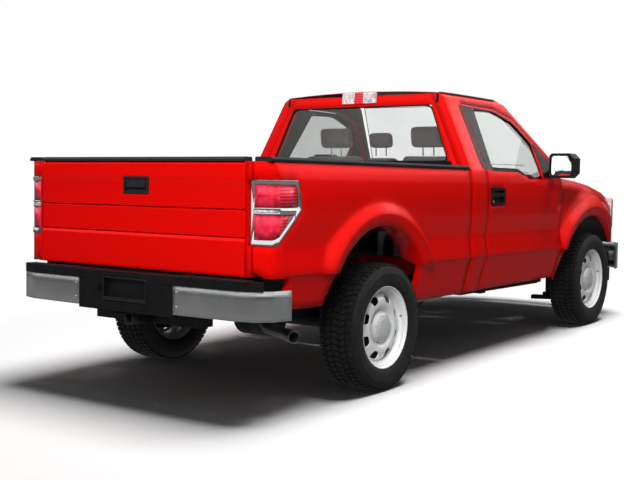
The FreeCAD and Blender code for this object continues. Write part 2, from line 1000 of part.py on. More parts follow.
for side_name, sign in (("left", 1), ("right", -1)):
    pair = [S.sill_notch * sign, (cab_inner_y + 10) * sign]
    if sign < 0:
        pair.reverse()
    notches.append(block("sill_notch_" + side_name,
                         (S.door_front - S.hinge_back - 90, S.toe_x + 10), tuple(pair),
                         (S.sill_low_z - 10, S.sill_top_z + 10)))
subpart("cab_floor", cut("cab_floor", join("cab_floor_whole", floor_pan, *sills), *notches))


# Windshield, cowl and dashboard

def bow_outline(half, bow, thick):
    """Plan of a bowed sheet in straight strips, its middle forward of its edges by the bow."""
    strips = int(SIZES["crown_strips"])
    shares = [1 - 2.0 * step / strips for step in range(strips + 1)]
    outer = [(bow * (1 - share * share), half * share) for share in shares]
    inner = [(bow * (1 - share * share) - thick, half * share) for share in reversed(shares)]
    return outer + inner


shield_rise = S.shield_top_z - S.shield_low_z
shield_run_back = S.shield_low_x - S.shield_top_x
shield_lean = math.atan2(shield_run_back.value, shield_rise.value)
shield_long = math.hypot(shield_run_back.value, shield_rise.value)
shield_sheet = prism("shield_sheet", "plan", bow_outline(S.belt_y, S.shield_bow, S.shield_thick), 0,
                     dim(shield_long))
shield_sheet.Placement = FreeCAD.Placement(
    Vector(SIZES["shield_low_x"], 0, SIZES["shield_low_z"]),
    FreeCAD.Rotation(Vector(0, 1, 0), -math.degrees(shield_lean)),
)
shield_trim = prism(
    "shield_trim",
    "front",
    [
        (-S.shield_low_y, S.shield_low_z),
        (S.shield_low_y, S.shield_low_z),
        (S.shield_top_y, S.shield_top_z),
        (-S.shield_top_y, S.shield_top_z),
    ],
    S.shield_top_x - 200,
    S.shield_low_x + 400,
)
subpart("windshield", common("windshield", shield_sheet, shield_trim))

cowl_run = prism(
    "cowl_run",
    "side",
    [
        (S.firewall_x + 0.3, S.cowl_low),
        (S.hood_rear - 12, S.cowl_low),
        (S.hood_rear - 12, S.cowl_low + 30),
        (S.cowl_front, S.shield_low_z - 1),
        (S.firewall_x + 0.3, S.shield_low_z - 1),
    ],
    -S.pillar_in_y + 4,
    S.pillar_in_y - 4,
)
hinge_arm = prism(
    "hinge_arm",
    "side",
    [
        (S.hood_rear - 60, S.cowl_low),
        (S.hood_hinge_x + 12, S.cowl_low),
        (S.hood_hinge_x + 12, S.hood_hinge_z),
        (S.hood_hinge_x + 6, S.hood_hinge_z + 9),
        (S.hood_hinge_x - 6, S.hood_hinge_z + 9),
        (S.hood_hinge_x - 12, S.hood_hinge_z),
        (S.hood_hinge_x - 12, S.hood_hinge_z - 20),
        (S.hood_rear - 60, S.cowl_low + 25),
    ],
    S.hood_ear_y + 12 + S.fit_gap * 4,
    S.hood_ear_y + 26,
)
hinge_pin = rod("hinge_pin", "y", (S.hood_hinge_x, S.hood_ear_y - 2, S.hood_hinge_z), S.hood_pin, 24)
hinge_left = join("hinge_left", hinge_arm, hinge_pin)
subpart("cowl_panel", join("cowl_panel", cowl_run, hinge_left, mirror("hinge_right", hinge_left)))

dash_profile = [
    (S.dash_rear, S.dash_low + 90),
    (S.dash_rear + 110, S.dash_low),
    (S.dash_front, S.dash_low),
    (S.dash_front, S.dash_top),
    (S.dash_rear + 90, S.dash_top),
    (S.dash_rear, S.dash_top - 50),
]
dash_half = S.pillar_in_y - S.fit_gap
dash_core = prism("dash_core", "side", dash_profile, -dash_half + 9, dash_half - 9)
dash_ears = block("dash_ears", (S.door_front + 15, S.dash_front - 4), (-dash_half, dash_half),
                  (S.dash_low + 60, S.dash_top - 60))
dash_body = join("dash_body", dash_core, dash_ears)
column_bore = skin(
    "column_bore",
    Part.makeCylinder(SIZES["column_radius"] + SIZES["fit_gap"], SIZES["column_long"] + 30, Vector(),
                      Vector(1, 0, 0)),
)
column_stand = FreeCAD.Placement(
    Vector(SIZES["wheel_x"], SIZES["wheel_y"], SIZES["wheel_z"]),
    FreeCAD.Rotation(Vector(0, 1, 0), SIZES["wheel_tilt"]),
)
column_bore.Placement = column_stand
subpart("dashboard", cut("dashboard", dash_body, column_bore))


# Seats

cushion_profile = [
    (S.seat_rear, S.seat_low),
    (S.seat_front - 30, S.seat_low),
    (S.seat_front, S.seat_low + 60),
    (S.seat_front - 10, S.seat_top - 20),
    (S.seat_front - 60, S.seat_top),
    (S.seat_rear, S.seat_top - 30),
]
cushion = prism("seat_cushion_pad", "side", cushion_profile, -S.seat_half, S.seat_half)
riser = block("seat_riser", (S.seat_rear + 40, S.seat_front - 90), (-S.seat_half + 90, S.seat_half - 90),
              (S.cab_floor_z + S.floor_thick + S.fit_gap, S.seat_low))
subpart("seat_cushion", join("seat_cushion", cushion, riser))

back_foot = S.seat_rear + 40
backrest_profile = [
    (back_foot - 40, S.seat_top - 30 + S.fit_gap),
    (back_foot + S.back_deep - 20, S.seat_top - 24 + S.fit_gap + 20),
    (back_foot + S.back_deep - S.back_lean, S.back_top),
    (back_foot - S.back_lean, S.back_top),
]
backrest = prism("backrest", "side", backrest_profile, -S.seat_half, S.seat_half)
rests = []
rest_x = back_foot - S.back_lean + 25
for rest_name, rest_mid, rest_half, rest_high in (
    ("left", S.rest_y, S.rest_half, S.rest_top),
    ("middle", dim(0), S.rest_small_half, S.rest_small_top),
    ("right", -S.rest_y, S.rest_half, S.rest_top),
):
    rests.append(prism(
        "rest_" + rest_name,
        "front",
        [
            (rest_mid - rest_half, S.back_top - 5),
            (rest_mid + rest_half, S.back_top - 5),
            (rest_mid + rest_half - 15, rest_high - 45),
            (rest_mid + rest_half - 60, rest_high),
            (rest_mid - rest_half + 60, rest_high),
            (rest_mid - rest_half + 15, rest_high - 45),
        ],
        rest_x,
        rest_x + S.rest_deep,
    ))
subpart("seat_backs", join("seat_backs", backrest, *rests))


# Steering wheel on its column

def steering_shape():
    """Grip ring, three spokes, hub and column about the x axis of its own frame."""
    radius = SIZES["wheel_rim"]
    grip = SIZES["wheel_grip"] / 2
    sides = int(SIZES["wheel_sides"])
    loops = []
    for reach in (radius + grip, radius - grip):
        turn = [2 * math.pi * side / sides for side in range(sides + 1)]
        loops.append([Vector(-grip, reach * math.sin(a), reach * math.cos(a)) for a in turn])
    outer = Part.Face(Part.makePolygon(loops[0]))
    inner = Part.Face(Part.makePolygon(loops[1]))
    ring = outer.cut(inner).extrude(Vector(2 * grip, 0, 0))
    hub = Part.makeBox(grip * 3, grip * 10, grip * 8, Vector(-grip, -grip * 5, -grip * 4))
    pieces = [ring, hub]
    for angle in (90, 270, 180):
        spoke = Part.makeBox(grip, grip * 3, radius, Vector(-grip / 2, -grip * 1.5, 0))
        spoke.rotate(Vector(), Vector(1, 0, 0), angle)
        pieces.append(spoke)
    column = Part.makeCylinder(SIZES["column_radius"], SIZES["column_long"], Vector(), Vector(1, 0, 0))
    pieces.append(column)
    solid = pieces[0].multiFuse(pieces[1:])
    return solid.removeSplitter()


steering = skin("steering_wheel", steering_shape())
steering.Placement = column_stand
subpart("steering_wheel", steering)


# Doors with glass, mirrors and handles

door_section = (
    lower_side_line()
    + [
        (S.glass_top_y, S.glass_top_z),
        (S.glass_top_y - S.frame_thick, S.glass_top_z),
        (S.belt_y - S.frame_thick, S.belt_z + 10),
        (S.belt_y - S.door_thick, S.belt_z - 20),
        (S.belt_y - S.door_thick, S.sill_top_z + 20),
        (S.belt_y - S.pillar_thick + 12, S.sill_top_z),
        (S.belt_y - S.pillar_thick + 12, S.sill_z),
    ]
)
door_run = prism("door_run", "front", door_section, S.door_rear_low - 10, S.door_front + 10)
door_shape = door_outline("door_shape", dim(0), dim(0))
window_opening = prism(
    "window_opening",
    "side",
    [
        (S.glass_rear_low, S.glass_belt_z),
        (S.glass_belt_x, S.glass_belt_z),
        (S.glass_kick_x, S.glass_kick_z),
        (S.glass_front_x + 8, S.glass_kick_z),
        (S.glass_nose_x, S.glass_nose_z),
        (S.glass_brow_x, S.glass_brow_z),
        (S.glass_head_x, S.glass_head_z),
        (S.glass_rear_high, S.glass_head_z + 8),
    ],
    0,
    S.flare_y,
)
door_full = common("door_full", door_run, door_shape)
pull_pocket = block("pull_pocket", (S.pull_rear - S.fit_gap, S.pull_front + S.fit_gap),
                    (S.waist_y - S.pull_deep - S.fit_gap, S.flare_y),
                    (S.pull_low - S.fit_gap, S.pull_top + S.fit_gap))
door_left = cut("door_left", door_full, window_opening, pull_pocket, *door_pockets)
subpart("door_left", door_left)
subpart("door_right", mirror("door_right", door_left))

glass_slope = (S.belt_y - S.glass_top_y) / (S.glass_top_z - S.belt_z)
glass_in = dim(10)
glass_drop = S.belt_z - S.glass_kick_z + 4
glass_run = prism(
    "glass_run",
    "front",
    [
        (S.belt_y - glass_in + glass_slope * glass_drop, S.belt_z - glass_drop),
        (S.glass_top_y - glass_in, S.glass_top_z),
        (S.glass_top_y - glass_in - S.glass_thick, S.glass_top_z),
        (S.belt_y - glass_in - S.glass_thick + glass_slope * glass_drop, S.belt_z - glass_drop),
    ],
    S.glass_rear_low - 10,
    S.glass_nose_x + 10,
)
glass_trim = prism(
    "glass_trim",
    "side",
    [
        (S.glass_rear_low + S.fit_gap, S.glass_belt_z + S.fit_gap),
        (S.glass_belt_x, S.glass_belt_z + S.fit_gap),
        (S.glass_kick_x, S.glass_kick_z + S.fit_gap),
        (S.glass_front_x + 8 - S.fit_gap, S.glass_kick_z + S.fit_gap),
        (S.glass_nose_x - S.fit_gap, S.glass_nose_z - S.fit_gap),
        (S.glass_brow_x - S.fit_gap, S.glass_brow_z - S.fit_gap),
        (S.glass_head_x, S.glass_head_z - S.fit_gap),
        (S.glass_rear_high + S.fit_gap, S.glass_head_z + 8 - S.fit_gap),
    ],
    0,
    S.flare_y,
)
door_glass_left = common("door_glass_left", glass_run, glass_trim)
subpart("door_glass_left", door_glass_left)
subpart("door_glass_right", mirror("door_glass_right", door_glass_left))

corner = S.mirror_corner
mirror_shell = prism(
    "mirror_shell",
    "front",
    [
        (S.mirror_inner + corner / 2, S.mirror_low),
        (S.mirror_outer - corner, S.mirror_low),
        (S.mirror_outer, S.mirror_low + corner),
        (S.mirror_outer, S.mirror_top - corner),
        (S.mirror_outer - corner, S.mirror_top),
        (S.mirror_inner + corner / 2, S.mirror_top),
        (S.mirror_inner, S.mirror_top - corner / 2),
        (S.mirror_inner, S.mirror_low + corner / 2),
    ],
    S.mirror_face,
    S.mirror_face + S.mirror_deep,
)
mirror_arm = prism(
    "mirror_arm",
    "plan",
    [
        (S.mirror_face + 50, S.mirror_inner + 10),
        (S.mirror_face + S.mirror_deep - 5, S.mirror_inner + 10),
        (S.mirror_foot + 110, S.belt_y - 4),
        (S.mirror_foot, S.belt_y - 4),
    ],
    S.mirror_arm_low,
    S.mirror_arm_top,
)
mirror_plate = prism(
    "mirror_plate",
    "side",
    [
        (S.glass_front_x + 30, S.door_shoulder_z + 2),
        (S.door_front - 30, S.door_shoulder_z + 2),
        (S.door_front - 34, S.door_corner_z + 6),
        (S.glass_nose_x + 22, S.glass_nose_z),
    ],
    0,
    S.flare_y,
)
plate_run = prism(
    "plate_run",
    "front",
    [
        (S.belt_y + S.fit_gap, S.belt_z),
        (S.glass_top_y + S.fit_gap, S.glass_top_z),
        (S.glass_top_y + 5, S.glass_top_z),
        (S.belt_y + 5, S.belt_z),
        (S.waist_y - 8 + 5, (S.waist_z + S.belt_z) / 2 + 8),
        (S.waist_y - 8 + S.fit_gap, (S.waist_z + S.belt_z) / 2 + 8),
    ],
    S.glass_front_x,
    S.door_front,
)
plate_left = common("plate_left", plate_run, mirror_plate)
arm_trim = prism(
    "arm_trim",
    "front",
    [
        (S.belt_y + S.fit_gap, S.belt_z),
        (S.glass_top_y + S.fit_gap, S.glass_top_z),
        (S.mirror_outer, S.glass_top_z),
        (S.mirror_outer, S.waist_z),
        (S.waist_y - 8 + S.fit_gap, (S.waist_z + S.belt_z) / 2 + 8),
    ],
    S.glass_front_x - 100,
    S.door_front,
)
arm_left = common("arm_left", mirror_arm, arm_trim)
mirror_left = join("mirror_left", mirror_shell, arm_left, plate_left)
subpart("mirror_left", mirror_left)
subpart("mirror_right", mirror("mirror_right", mirror_left))

handle_plate = block("handle_plate", (S.pull_rear, S.pull_front),
                     (S.waist_y - S.pull_deep, S.waist_y + S.pull_proud),
                     (S.pull_low, S.pull_top))
handle_cup = block("handle_cup", (S.pull_rear + 20, S.pull_front - 20),
                   (S.waist_y + S.pull_proud - S.pull_cup, S.flare_y),
                   (S.pull_low + 18, S.pull_top - 18))
handle_bar = block("handle_bar", (S.pull_rear + 10, S.pull_front - 10),
                   (S.waist_y - 2, S.waist_y + S.pull_proud),
                   (S.pull_top - 62, S.pull_top - 34))
handle_left = join("door_handle_left", cut("handle_cupped", handle_plate, handle_cup), handle_bar)
subpart("door_handle_left", handle_left)
subpart("door_handle_right", mirror("door_handle_right", handle_left))


# Bed: sides, floor, front wall, wheelhouses, caps

bed_section = (
    [(y, z) for y, z in lower_side_line()]
    + [
        (S.belt_y, S.bed_side_top),
        (S.bed_inner_y, S.bed_side_top),
        (S.bed_inner_y, S.bed_floor_z - S.bed_floor_thick - 6),
        (S.crease_y - S.bed_skirt_thick - 10, S.bed_floor_z - 60),
        (S.crease_y - S.bed_skirt_thick - 10, S.crease_low_z - 24),
        (S.sill_y - S.bed_skirt_thick, S.sill_z),
    ]
)
bed_run = prism("bed_run", "front", bed_section, S.bed_rear, S.bed_front)
bed_outline = prism(
    "bed_outline",
    "side",
    [
        (S.bed_rear, S.rear_bumper_top + S.pad_tall + 14),
        (S.rear_bumper_end + 10, S.rear_bumper_top + S.pad_tall + 14),
        (S.rear_bumper_end + 10, S.bedside_low_z + 8),
        (S.rear_arch_x - S.rear_arch_radius, S.bedside_low_z),
        (S.rear_arch_front, S.sill_z),
        (S.bed_front, S.sill_z),
        (S.bed_front, S.bed_side_top),
        (S.bed_rear, S.bed_side_top),
    ],
    0,
    S.flare_y + 20,
)
r_corner = S.corner_radius
bed_plan = prism(
    "bed_plan",
    "plan",
    [
        (S.bed_rear, S.bed_inner_y - 30),
        (S.bed_front, S.bed_inner_y - 30),
        (S.bed_front, S.flare_y + 20),
        (S.bed_rear + r_corner * 2.2, S.flare_y + 20),
        (S.bed_rear + r_corner * 2.2, S.waist_y + 2),
        (S.bed_rear + r_corner * 1.1, S.waist_y - 9),
        (S.bed_rear + r_corner * 0.4, S.waist_y - 33),
        (S.bed_rear + r_corner * 0.1, S.waist_y - 62),
        (S.bed_rear, S.waist_y - 95),
    ],
    S.sill_z - 60,
    S.bed_side_top + 60,
)
bed_wall = common("bed_wall", common("bed_wall_blank", bed_run, bed_outline), bed_plan)


def flare(tag, x, z, radius):
    """Raised lip round a wheel arch, turned about the arch's centre."""
    ring = turned(
        "flare_ring_" + tag,
        (x, z),
        [
            (S.flare_inner_y, radius - 5),
            (S.flare_lip_y, radius - 5),
            (S.flare_y, radius + S.flare_ridge),
            (S.crease_y - S.flare_sink, radius + S.flare_wide),
            (S.flare_inner_y, radius + S.flare_wide),
        ],
    )
    keep = block("flare_keep_" + tag, (x - 1000, x + 1000), (S.flare_inner_y - 50, S.flare_y + 50),
                 (S.crease_low_z + 5, S.belt_z))
    return common("flare_" + tag, ring, keep)


rear_flare = flare("rear", S.rear_arch_x, S.rear_arch_z, S.rear_arch_radius)
rear_hole_disc = rod("rear_hole_disc", "y", (S.rear_arch_x, S.bed_inner_y - 30, S.rear_arch_z),
                     S.rear_arch_radius, 400)
rear_hole_keep = block("rear_hole_keep", (S.rear_arch_x - 700, S.rear_arch_front),
                       (S.bed_inner_y - 40, S.flare_y + 60),
                       (S.sill_z - 80, S.rear_arch_z + S.rear_arch_radius + 10))
rear_hole = common("rear_hole", rear_hole_disc, rear_hole_keep)


def lamp_volume(name, grow):
    """Side and rear outline of a tail lamp as one prism, grown by a gap."""
    return prism(
        name,
        "side",
        [
            (S.bed_rear - 60, S.lamp_top_z + grow),
            (S.lamp_front_top + grow, S.lamp_top_z + grow),
            (S.lamp_front_mid + grow, S.lamp_mid_z),
            (S.lamp_front_low + grow, S.lamp_low_z - grow),
            (S.bed_rear - 60, S.lamp_low_z - grow),
        ],
        S.lamp_inner_y - grow,
        S.flare_y + 20,
    )


lamp_core = block("lamp_core", (S.bed_rear + S.lamp_deep, dim(0)),
                  (S.lamp_inner_y - 40, S.waist_y - 34),
                  (S.lamp_low_z - 40, S.lamp_top_z + 40))
lamp_pocket = cut("lamp_pocket", lamp_volume("lamp_pocket_volume", S.fit_gap * 4), lamp_core)
bed_post = block("bed_post", (S.bed_rear - 18, S.bed_floor_rear - S.panel_gap),
                 (S.gate_half + S.panel_gap, S.bed_inner_y + 5),
                 (S.gate_low_z, S.bed_side_top))
gate_bearing = rod("gate_bearing", "y",
                   (S.gate_hinge_x + S.gate_pin_in, S.gate_half, S.gate_hinge_z),
                   S.gate_pin + S.fit_gap, S.gate_pin_long + S.panel_gap)
bedside_blank = cut("bedside_blank", join("bedside_flared", bed_wall, rear_flare, bed_post), rear_hole,
                    lamp_pocket, gate_bearing)

fuel_half = S.fuel_wide / 2
fuel_rise = S.fuel_tall / 2
fuel_pin_x = S.fuel_x + fuel_half - S.fuel_pin_in
fuel_bearing = rod("fuel_bearing", "z",
                   (fuel_pin_x, S.waist_y - S.fuel_pin_deep, S.fuel_z - fuel_rise - 12),
                   S.fuel_pin + S.fit_gap, S.fuel_tall + 24)
fuel_hole = block("fuel_hole",
                  (S.fuel_x - fuel_half - S.fuel_gap, S.fuel_x + fuel_half + S.fuel_gap),
                  (S.waist_y - S.fuel_pocket, S.flare_y),
                  (S.fuel_z - fuel_rise - S.fuel_gap, S.fuel_z + fuel_rise + S.fuel_gap))
bedside_left = cut("bedside_left", bedside_blank, fuel_hole, fuel_bearing)
subpart("bedside_left", bedside_left)
subpart("bedside_right", mirror("bedside_right", bedside_blank))

fuel_slab = block("fuel_slab",
                  (S.fuel_x - fuel_half, S.fuel_x + fuel_half),
                  (S.crease_y - 40, S.flare_y),
                  (S.fuel_z - fuel_rise, S.fuel_z + fuel_rise))
fuel_section = [
    (S.line_y, S.line_z),
    (S.waist_y - 5, (S.line_z + S.waist_z) / 2),
    (S.waist_y, S.waist_z),
    (S.waist_y - 8, (S.waist_z + S.belt_z) / 2 + 8),
    (S.belt_y, S.belt_z),
    (S.belt_y - S.fuel_thick, S.belt_z),
    (S.waist_y - 8 - S.fuel_thick, (S.waist_z + S.belt_z) / 2 + 8),
    (S.waist_y - S.fuel_thick, S.waist_z),
    (S.waist_y - 5 - S.fuel_thick, (S.line_z + S.waist_z) / 2),
    (S.line_y - S.fuel_thick, S.line_z),
]
fuel_run = prism("fuel_run", "front", fuel_section, S.fuel_x - S.fuel_wide, S.fuel_x + S.fuel_wide)
fuel_pin = rod("fuel_pin", "z",
               (fuel_pin_x, S.waist_y - S.fuel_pin_deep, S.fuel_z - fuel_rise - 10),
               S.fuel_pin, S.fuel_tall + 20)
subpart("fuel_door", join("fuel_door", common("fuel_panel", fuel_run, fuel_slab), fuel_pin))

floor_plate = block("floor_plate", (S.bed_floor_rear, S.bed_wall_x),
                    (-S.bed_inner_y + S.fit_gap, S.bed_inner_y - S.fit_gap),
                    (S.bed_floor_z - S.bed_floor_thick, S.bed_floor_z))
ribs = []
rib_count = int(SIZES["bed_rib_count"])
for rib_number in range(rib_count):
    rib_mid = S.bed_rib_pitch * (rib_number - (rib_count - 1) / 2)
    ribs.append(prism(
        "bed_rib_" + str(rib_number),
        "front",
        [
            (rib_mid - S.bed_rib_wide / 2, S.bed_floor_z),
            (rib_mid + S.bed_rib_wide / 2, S.bed_floor_z),
            (rib_mid + S.bed_rib_wide / 2 - 8, S.bed_floor_z + S.bed_rib_tall),
            (rib_mid - S.bed_rib_wide / 2 + 8, S.bed_floor_z + S.bed_rib_tall),
        ],
        S.bed_floor_rear,
        S.bed_wall_x,
    ))
sills_under = []
for sill_number in range(4):
    sill_x = S.bed_floor_rear + 60 + sill_number * 590
    sills_under.append(block("bed_sill_" + str(sill_number), (sill_x, sill_x + 70),
                             (-S.wheelhouse_y + 20, S.wheelhouse_y - 20),
                             (S.bed_floor_z - S.bed_floor_thick - 45,
                              S.bed_floor_z - S.bed_floor_thick)))
floor_hole_left = block("floor_hole_left",
                        (S.rear_arch_x - 445, S.rear_arch_x + 445),
                        (S.wheelhouse_y - 1, S.bed_inner_y + 10),
                        (S.bed_floor_z - 100, S.bed_floor_z + 40))
floor_hole_right = block("floor_hole_right",
                         (S.rear_arch_x - 445, S.rear_arch_x + 445),
                         (-S.bed_inner_y - 10, -S.wheelhouse_y + 1),
                         (S.bed_floor_z - 100, S.bed_floor_z + 40))
floor_whole = join("bed_floor_whole", floor_plate, *ribs, *sills_under)
subpart("bed_floor", cut("bed_floor", floor_whole, floor_hole_left, floor_hole_right))

house_outer = rod("house_outer", "y", (S.rear_arch_x, S.wheelhouse_y, S.rear_arch_z),
                  S.rear_arch_radius + S.wheelhouse_wall, S.bed_inner_y - S.wheelhouse_y - S.fit_gap)
house_inner = rod("house_inner", "y",
                  (S.rear_arch_x, S.wheelhouse_y + S.wheelhouse_wall, S.rear_arch_z),
                  S.rear_arch_radius, 400)
house_keep = block("house_keep", (S.rear_arch_x - 430, S.rear_arch_x + 430),
                   (S.wheelhouse_y - 20, S.bed_inner_y + 20),
                   (S.bed_floor_z - S.bed_floor_thick, S.belt_z))
house_left = common("wheelhouse_left", cut("house_shell", house_outer, house_inner), house_keep)
subpart("wheelhouses", group("wheelhouses", house_left, mirror("wheelhouse_right", house_left)))

wall_front = block("wall_front", (S.bed_wall_x + S.fit_gap, S.bed_wall_x + S.bed_wall_thick),
                   (-S.bed_inner_y + S.fit_gap, S.bed_inner_y - S.fit_gap),
                   (S.bed_floor_z - 60, S.bed_side_top))
wall_bead = block("wall_bead", (S.bed_wall_x + S.fit_gap, S.bed_wall_x + S.bed_wall_thick),
                  (-S.bed_inner_y + S.fit_gap, S.bed_inner_y - S.fit_gap),
                  (S.bed_side_top - 30, S.bed_side_top + 14))
subpart("bed_front_wall", join("bed_front_wall", wall_front, wall_bead))

cap_section = [
    (S.cap_y, S.bed_side_top + S.fit_gap),
    (S.cap_y + S.cap_wide, S.bed_side_top + S.fit_gap),
    (S.cap_y + S.cap_wide + 2, S.bed_side_top + S.cap_tall * 0.5),
    (S.cap_y + S.cap_wide - 10, S.bed_side_top + S.cap_tall),
    (S.cap_y + 6, S.bed_side_top + S.cap_tall),
    (S.cap_y, S.bed_side_top + S.cap_tall - 8),
]
cap_left = prism("cap_left", "front", cap_section, S.bed_rear + 4, S.bed_front - 4)
subpart("bed_rail_caps", group("bed_rail_caps", cap_left, mirror("cap_right", cap_left)))


# Tailgate with its cap and handle

gate_in = S.gate_face_x + S.gate_thick
gate_profile = [
    (S.gate_face_x + 4, S.gate_low_z),
    (S.gate_face_x, S.gate_low_z + 12),
    (S.gate_face_x, S.gate_line_low),
    (S.gate_face_x + S.gate_step, S.gate_line_low + 14),
    (S.gate_face_x + S.gate_step, S.gate_line_mid),
    (S.gate_face_x + S.gate_step / 2, S.gate_line_mid + 10),
    (S.gate_face_x + S.gate_step / 2, S.gate_line_top),
    (S.gate_face_x, S.gate_line_top + 12),
    (S.gate_face_x + 3, S.gate_top_z - 14),
    (S.gate_face_x + 14, S.gate_top_z),
    (gate_in, S.gate_top_z),
    (gate_in, S.gate_low_z),
]
gate_body = prism("gate_body", "side", gate_profile, -S.gate_half, S.gate_half)
handle_pocket = block("handle_pocket", (S.gate_face_x - 20, S.gate_face_x + S.handle_deep + S.fit_gap),
                      (-S.handle_half - S.fit_gap, S.handle_half + S.fit_gap),
                      (S.handle_low_z - S.fit_gap, S.handle_top_z + S.fit_gap))
gate_pin = rod("gate_pin", "y", (S.gate_hinge_x + S.gate_pin_in, S.gate_half - 10, S.gate_hinge_z),
               S.gate_pin, S.gate_pin_long + 10)
subpart("tailgate", join("tailgate", cut("gate_panel", gate_body, handle_pocket), gate_pin,
                         mirror("gate_pin_right", gate_pin)))

gate_cap_profile = [
    (S.gate_face_x - 1, S.gate_top_z + S.fit_gap),
    (gate_in - 4, S.gate_top_z + S.fit_gap),
    (gate_in - 4, S.gate_top_z + S.cap_tall - 6),
    (gate_in - 12, S.gate_top_z + S.cap_tall),
    (S.gate_face_x + 10, S.gate_top_z + S.cap_tall),
    (S.gate_face_x - 1, S.gate_top_z + S.cap_tall * 0.5),
]
gate_cap = prism("gate_cap", "side", gate_cap_profile, -S.gate_half + 4, S.gate_half - 4)

gate_bezel = block("gate_bezel", (S.gate_face_x - 2, S.gate_face_x + S.handle_deep),
                   (-S.handle_half, S.handle_half), (S.handle_low_z, S.handle_top_z))
gate_cup = block("gate_cup", (S.gate_face_x - 10, S.gate_face_x + S.handle_recess),
                 (-S.handle_half + 14, S.handle_half - 14),
                 (S.handle_low_z + 12, S.handle_top_z - 12))
gate_lever = block("gate_lever", (S.gate_face_x - 2, S.gate_face_x + S.handle_recess + 4),
                   (-S.handle_half + 24, S.handle_half - 24),
                   (S.handle_low_z + 34, S.handle_top_z - 16))
gate_handle = join("gate_handle", cut("gate_bezel_cup", gate_bezel, gate_cup), gate_lever)
subpart("tailgate_trim", group("tailgate_trim", gate_cap, gate_handle))


# Tail lamps and high stop lamp

lamp_solid = lamp_volume("lamp_solid", dim(0))
lamp_section = [
    (S.lamp_inner_y - 10, S.line_z - 20),
    (S.line_y + S.lamp_proud, S.line_z - 20),
    (S.line_y + S.lamp_proud, S.line_z),
    (S.waist_y - 5 + S.lamp_proud, (S.line_z + S.waist_z) / 2),
    (S.waist_y + S.lamp_proud, S.waist_z),
    (S.waist_y - 8 + S.lamp_proud, (S.waist_z + S.belt_z) / 2 + 8),
    (S.lamp_inner_y - 10, S.belt_z),
]
lamp_run = prism("lamp_run", "front", lamp_section, S.bed_rear - S.lamp_proud, dim(-700))
lamp_plan = prism(
    "lamp_plan",
    "plan",
    [
        (S.bed_rear - S.lamp_proud, S.lamp_inner_y - 20),
        (dim(-700), S.lamp_inner_y - 20),
        (dim(-700), S.waist_y + 20),
        (S.bed_rear + r_corner * 2.2, S.waist_y + 20),
        (S.bed_rear + r_corner * 2.2 - 2, S.waist_y + S.lamp_proud + 2),
        (S.bed_rear + r_corner * 1.1 - 3, S.waist_y - 9 + S.lamp_proud),
        (S.bed_rear + r_corner * 0.4 - 3, S.waist_y - 33 + S.lamp_proud),
        (S.bed_rear + r_corner * 0.1 - 4, S.waist_y - 62 + 3),
        (S.bed_rear - S.lamp_proud, S.waist_y - 95),
    ],
    S.lamp_low_z - 60,
    S.lamp_top_z + 60,
)
lamp_inside = block("lamp_inside", (S.bed_rear + S.lamp_deep - S.fit_gap, dim(0)),
                    (S.lamp_inner_y - 40, S.waist_y - 34 + S.fit_gap),
                    (S.lamp_low_z - 40, S.lamp_top_z + 40))
lamp_left = cut("lamp_left", common("lamp_body", common("lamp_skin", lamp_solid, lamp_run), lamp_plan),
                lamp_inside)
stop_low = S.gutter_z - 3 - S.stop_lamp_tall
stop_lean = (S.cab_rear_top - S.cab_rear) / (S.gutter_z - 3 - S.belt_z) * S.stop_lamp_tall
stop_lamp = prism(
    "stop_lamp",
    "side",
    [
        (S.cab_rear_top - stop_lean - S.stop_lamp_deep, stop_low),
        (S.cab_rear_top - stop_lean - S.fit_gap, stop_low),
        (S.cab_rear_top - S.fit_gap, S.gutter_z - 3),
        (S.cab_rear_top - S.fit_gap, S.gutter_z + S.roof_crown - 6),
        (S.cab_rear_top - S.stop_lamp_deep + 4, S.gutter_z + S.roof_crown - 6),
        (S.cab_rear_top - S.stop_lamp_deep, S.gutter_z + S.roof_crown - 10),
    ],
    -S.stop_lamp_wide / 2,
    S.stop_lamp_wide / 2,
)
subpart("tail_lamps", group("tail_lamps", lamp_left, mirror("lamp_right", lamp_left)))
subpart("stop_lamp", stop_lamp)


# Rear bumper, step pad and hitch

bumper_wall = S.rear_bumper_wall
bumper_half = [
    (S.rear_bumper_face + 10, dim(0)),
    (S.rear_bumper_face, S.rear_bumper_knee_y / 2),
    (S.rear_bumper_face + 14, S.rear_bumper_knee_y),
    (S.rear_bumper_face + 50, S.rear_bumper_knee_y + 110),
    (S.rear_bumper_bend_x, S.rear_bumper_bend_y),
    (S.rear_bumper_end, S.rear_bumper_half),
    (S.rear_bumper_end, S.rear_bumper_half - 14),
    (S.rear_bumper_bend_x + bumper_wall, S.rear_bumper_bend_y - 22),
    (S.rear_bumper_face + 50 + bumper_wall, S.rear_bumper_knee_y + 80),
    (S.rear_bumper_face + bumper_wall + 14, S.rear_bumper_knee_y - 10),
    (S.rear_bumper_face + bumper_wall, dim(0)),
]


def both_sides(points):
    """An outline over y = 0 from its left half, whose first and last points lie on the middle."""
    other = [(x, -y) for x, y in reversed(points[1:-1])]
    return points + other


bumper_bar = prism("bumper_bar", "plan", both_sides(bumper_half), S.rear_bumper_low, S.rear_bumper_top)
bumper_dip = block("bumper_dip", (S.rear_bumper_face - 40, S.rear_bumper_face + S.pad_centre_deep),
                   (-S.pad_centre_half, S.pad_centre_half),
                   (S.rear_bumper_low - 20, S.rear_bumper_top + 20))
bracket_left = block("bracket_left", (S.rear_bumper_face + bumper_wall - 6, S.rail_rear + 60),
                     (S.rail_y + S.rail_wide + S.fit_gap, S.rail_y + S.rail_wide + 14),
                     (S.rear_bumper_low + 20, S.rear_bumper_top - 20))
subpart("rear_bumper", join("rear_bumper", cut("bumper_dipped", bumper_bar, bumper_dip),
                            bracket_left, mirror("bracket_right", bracket_left)))

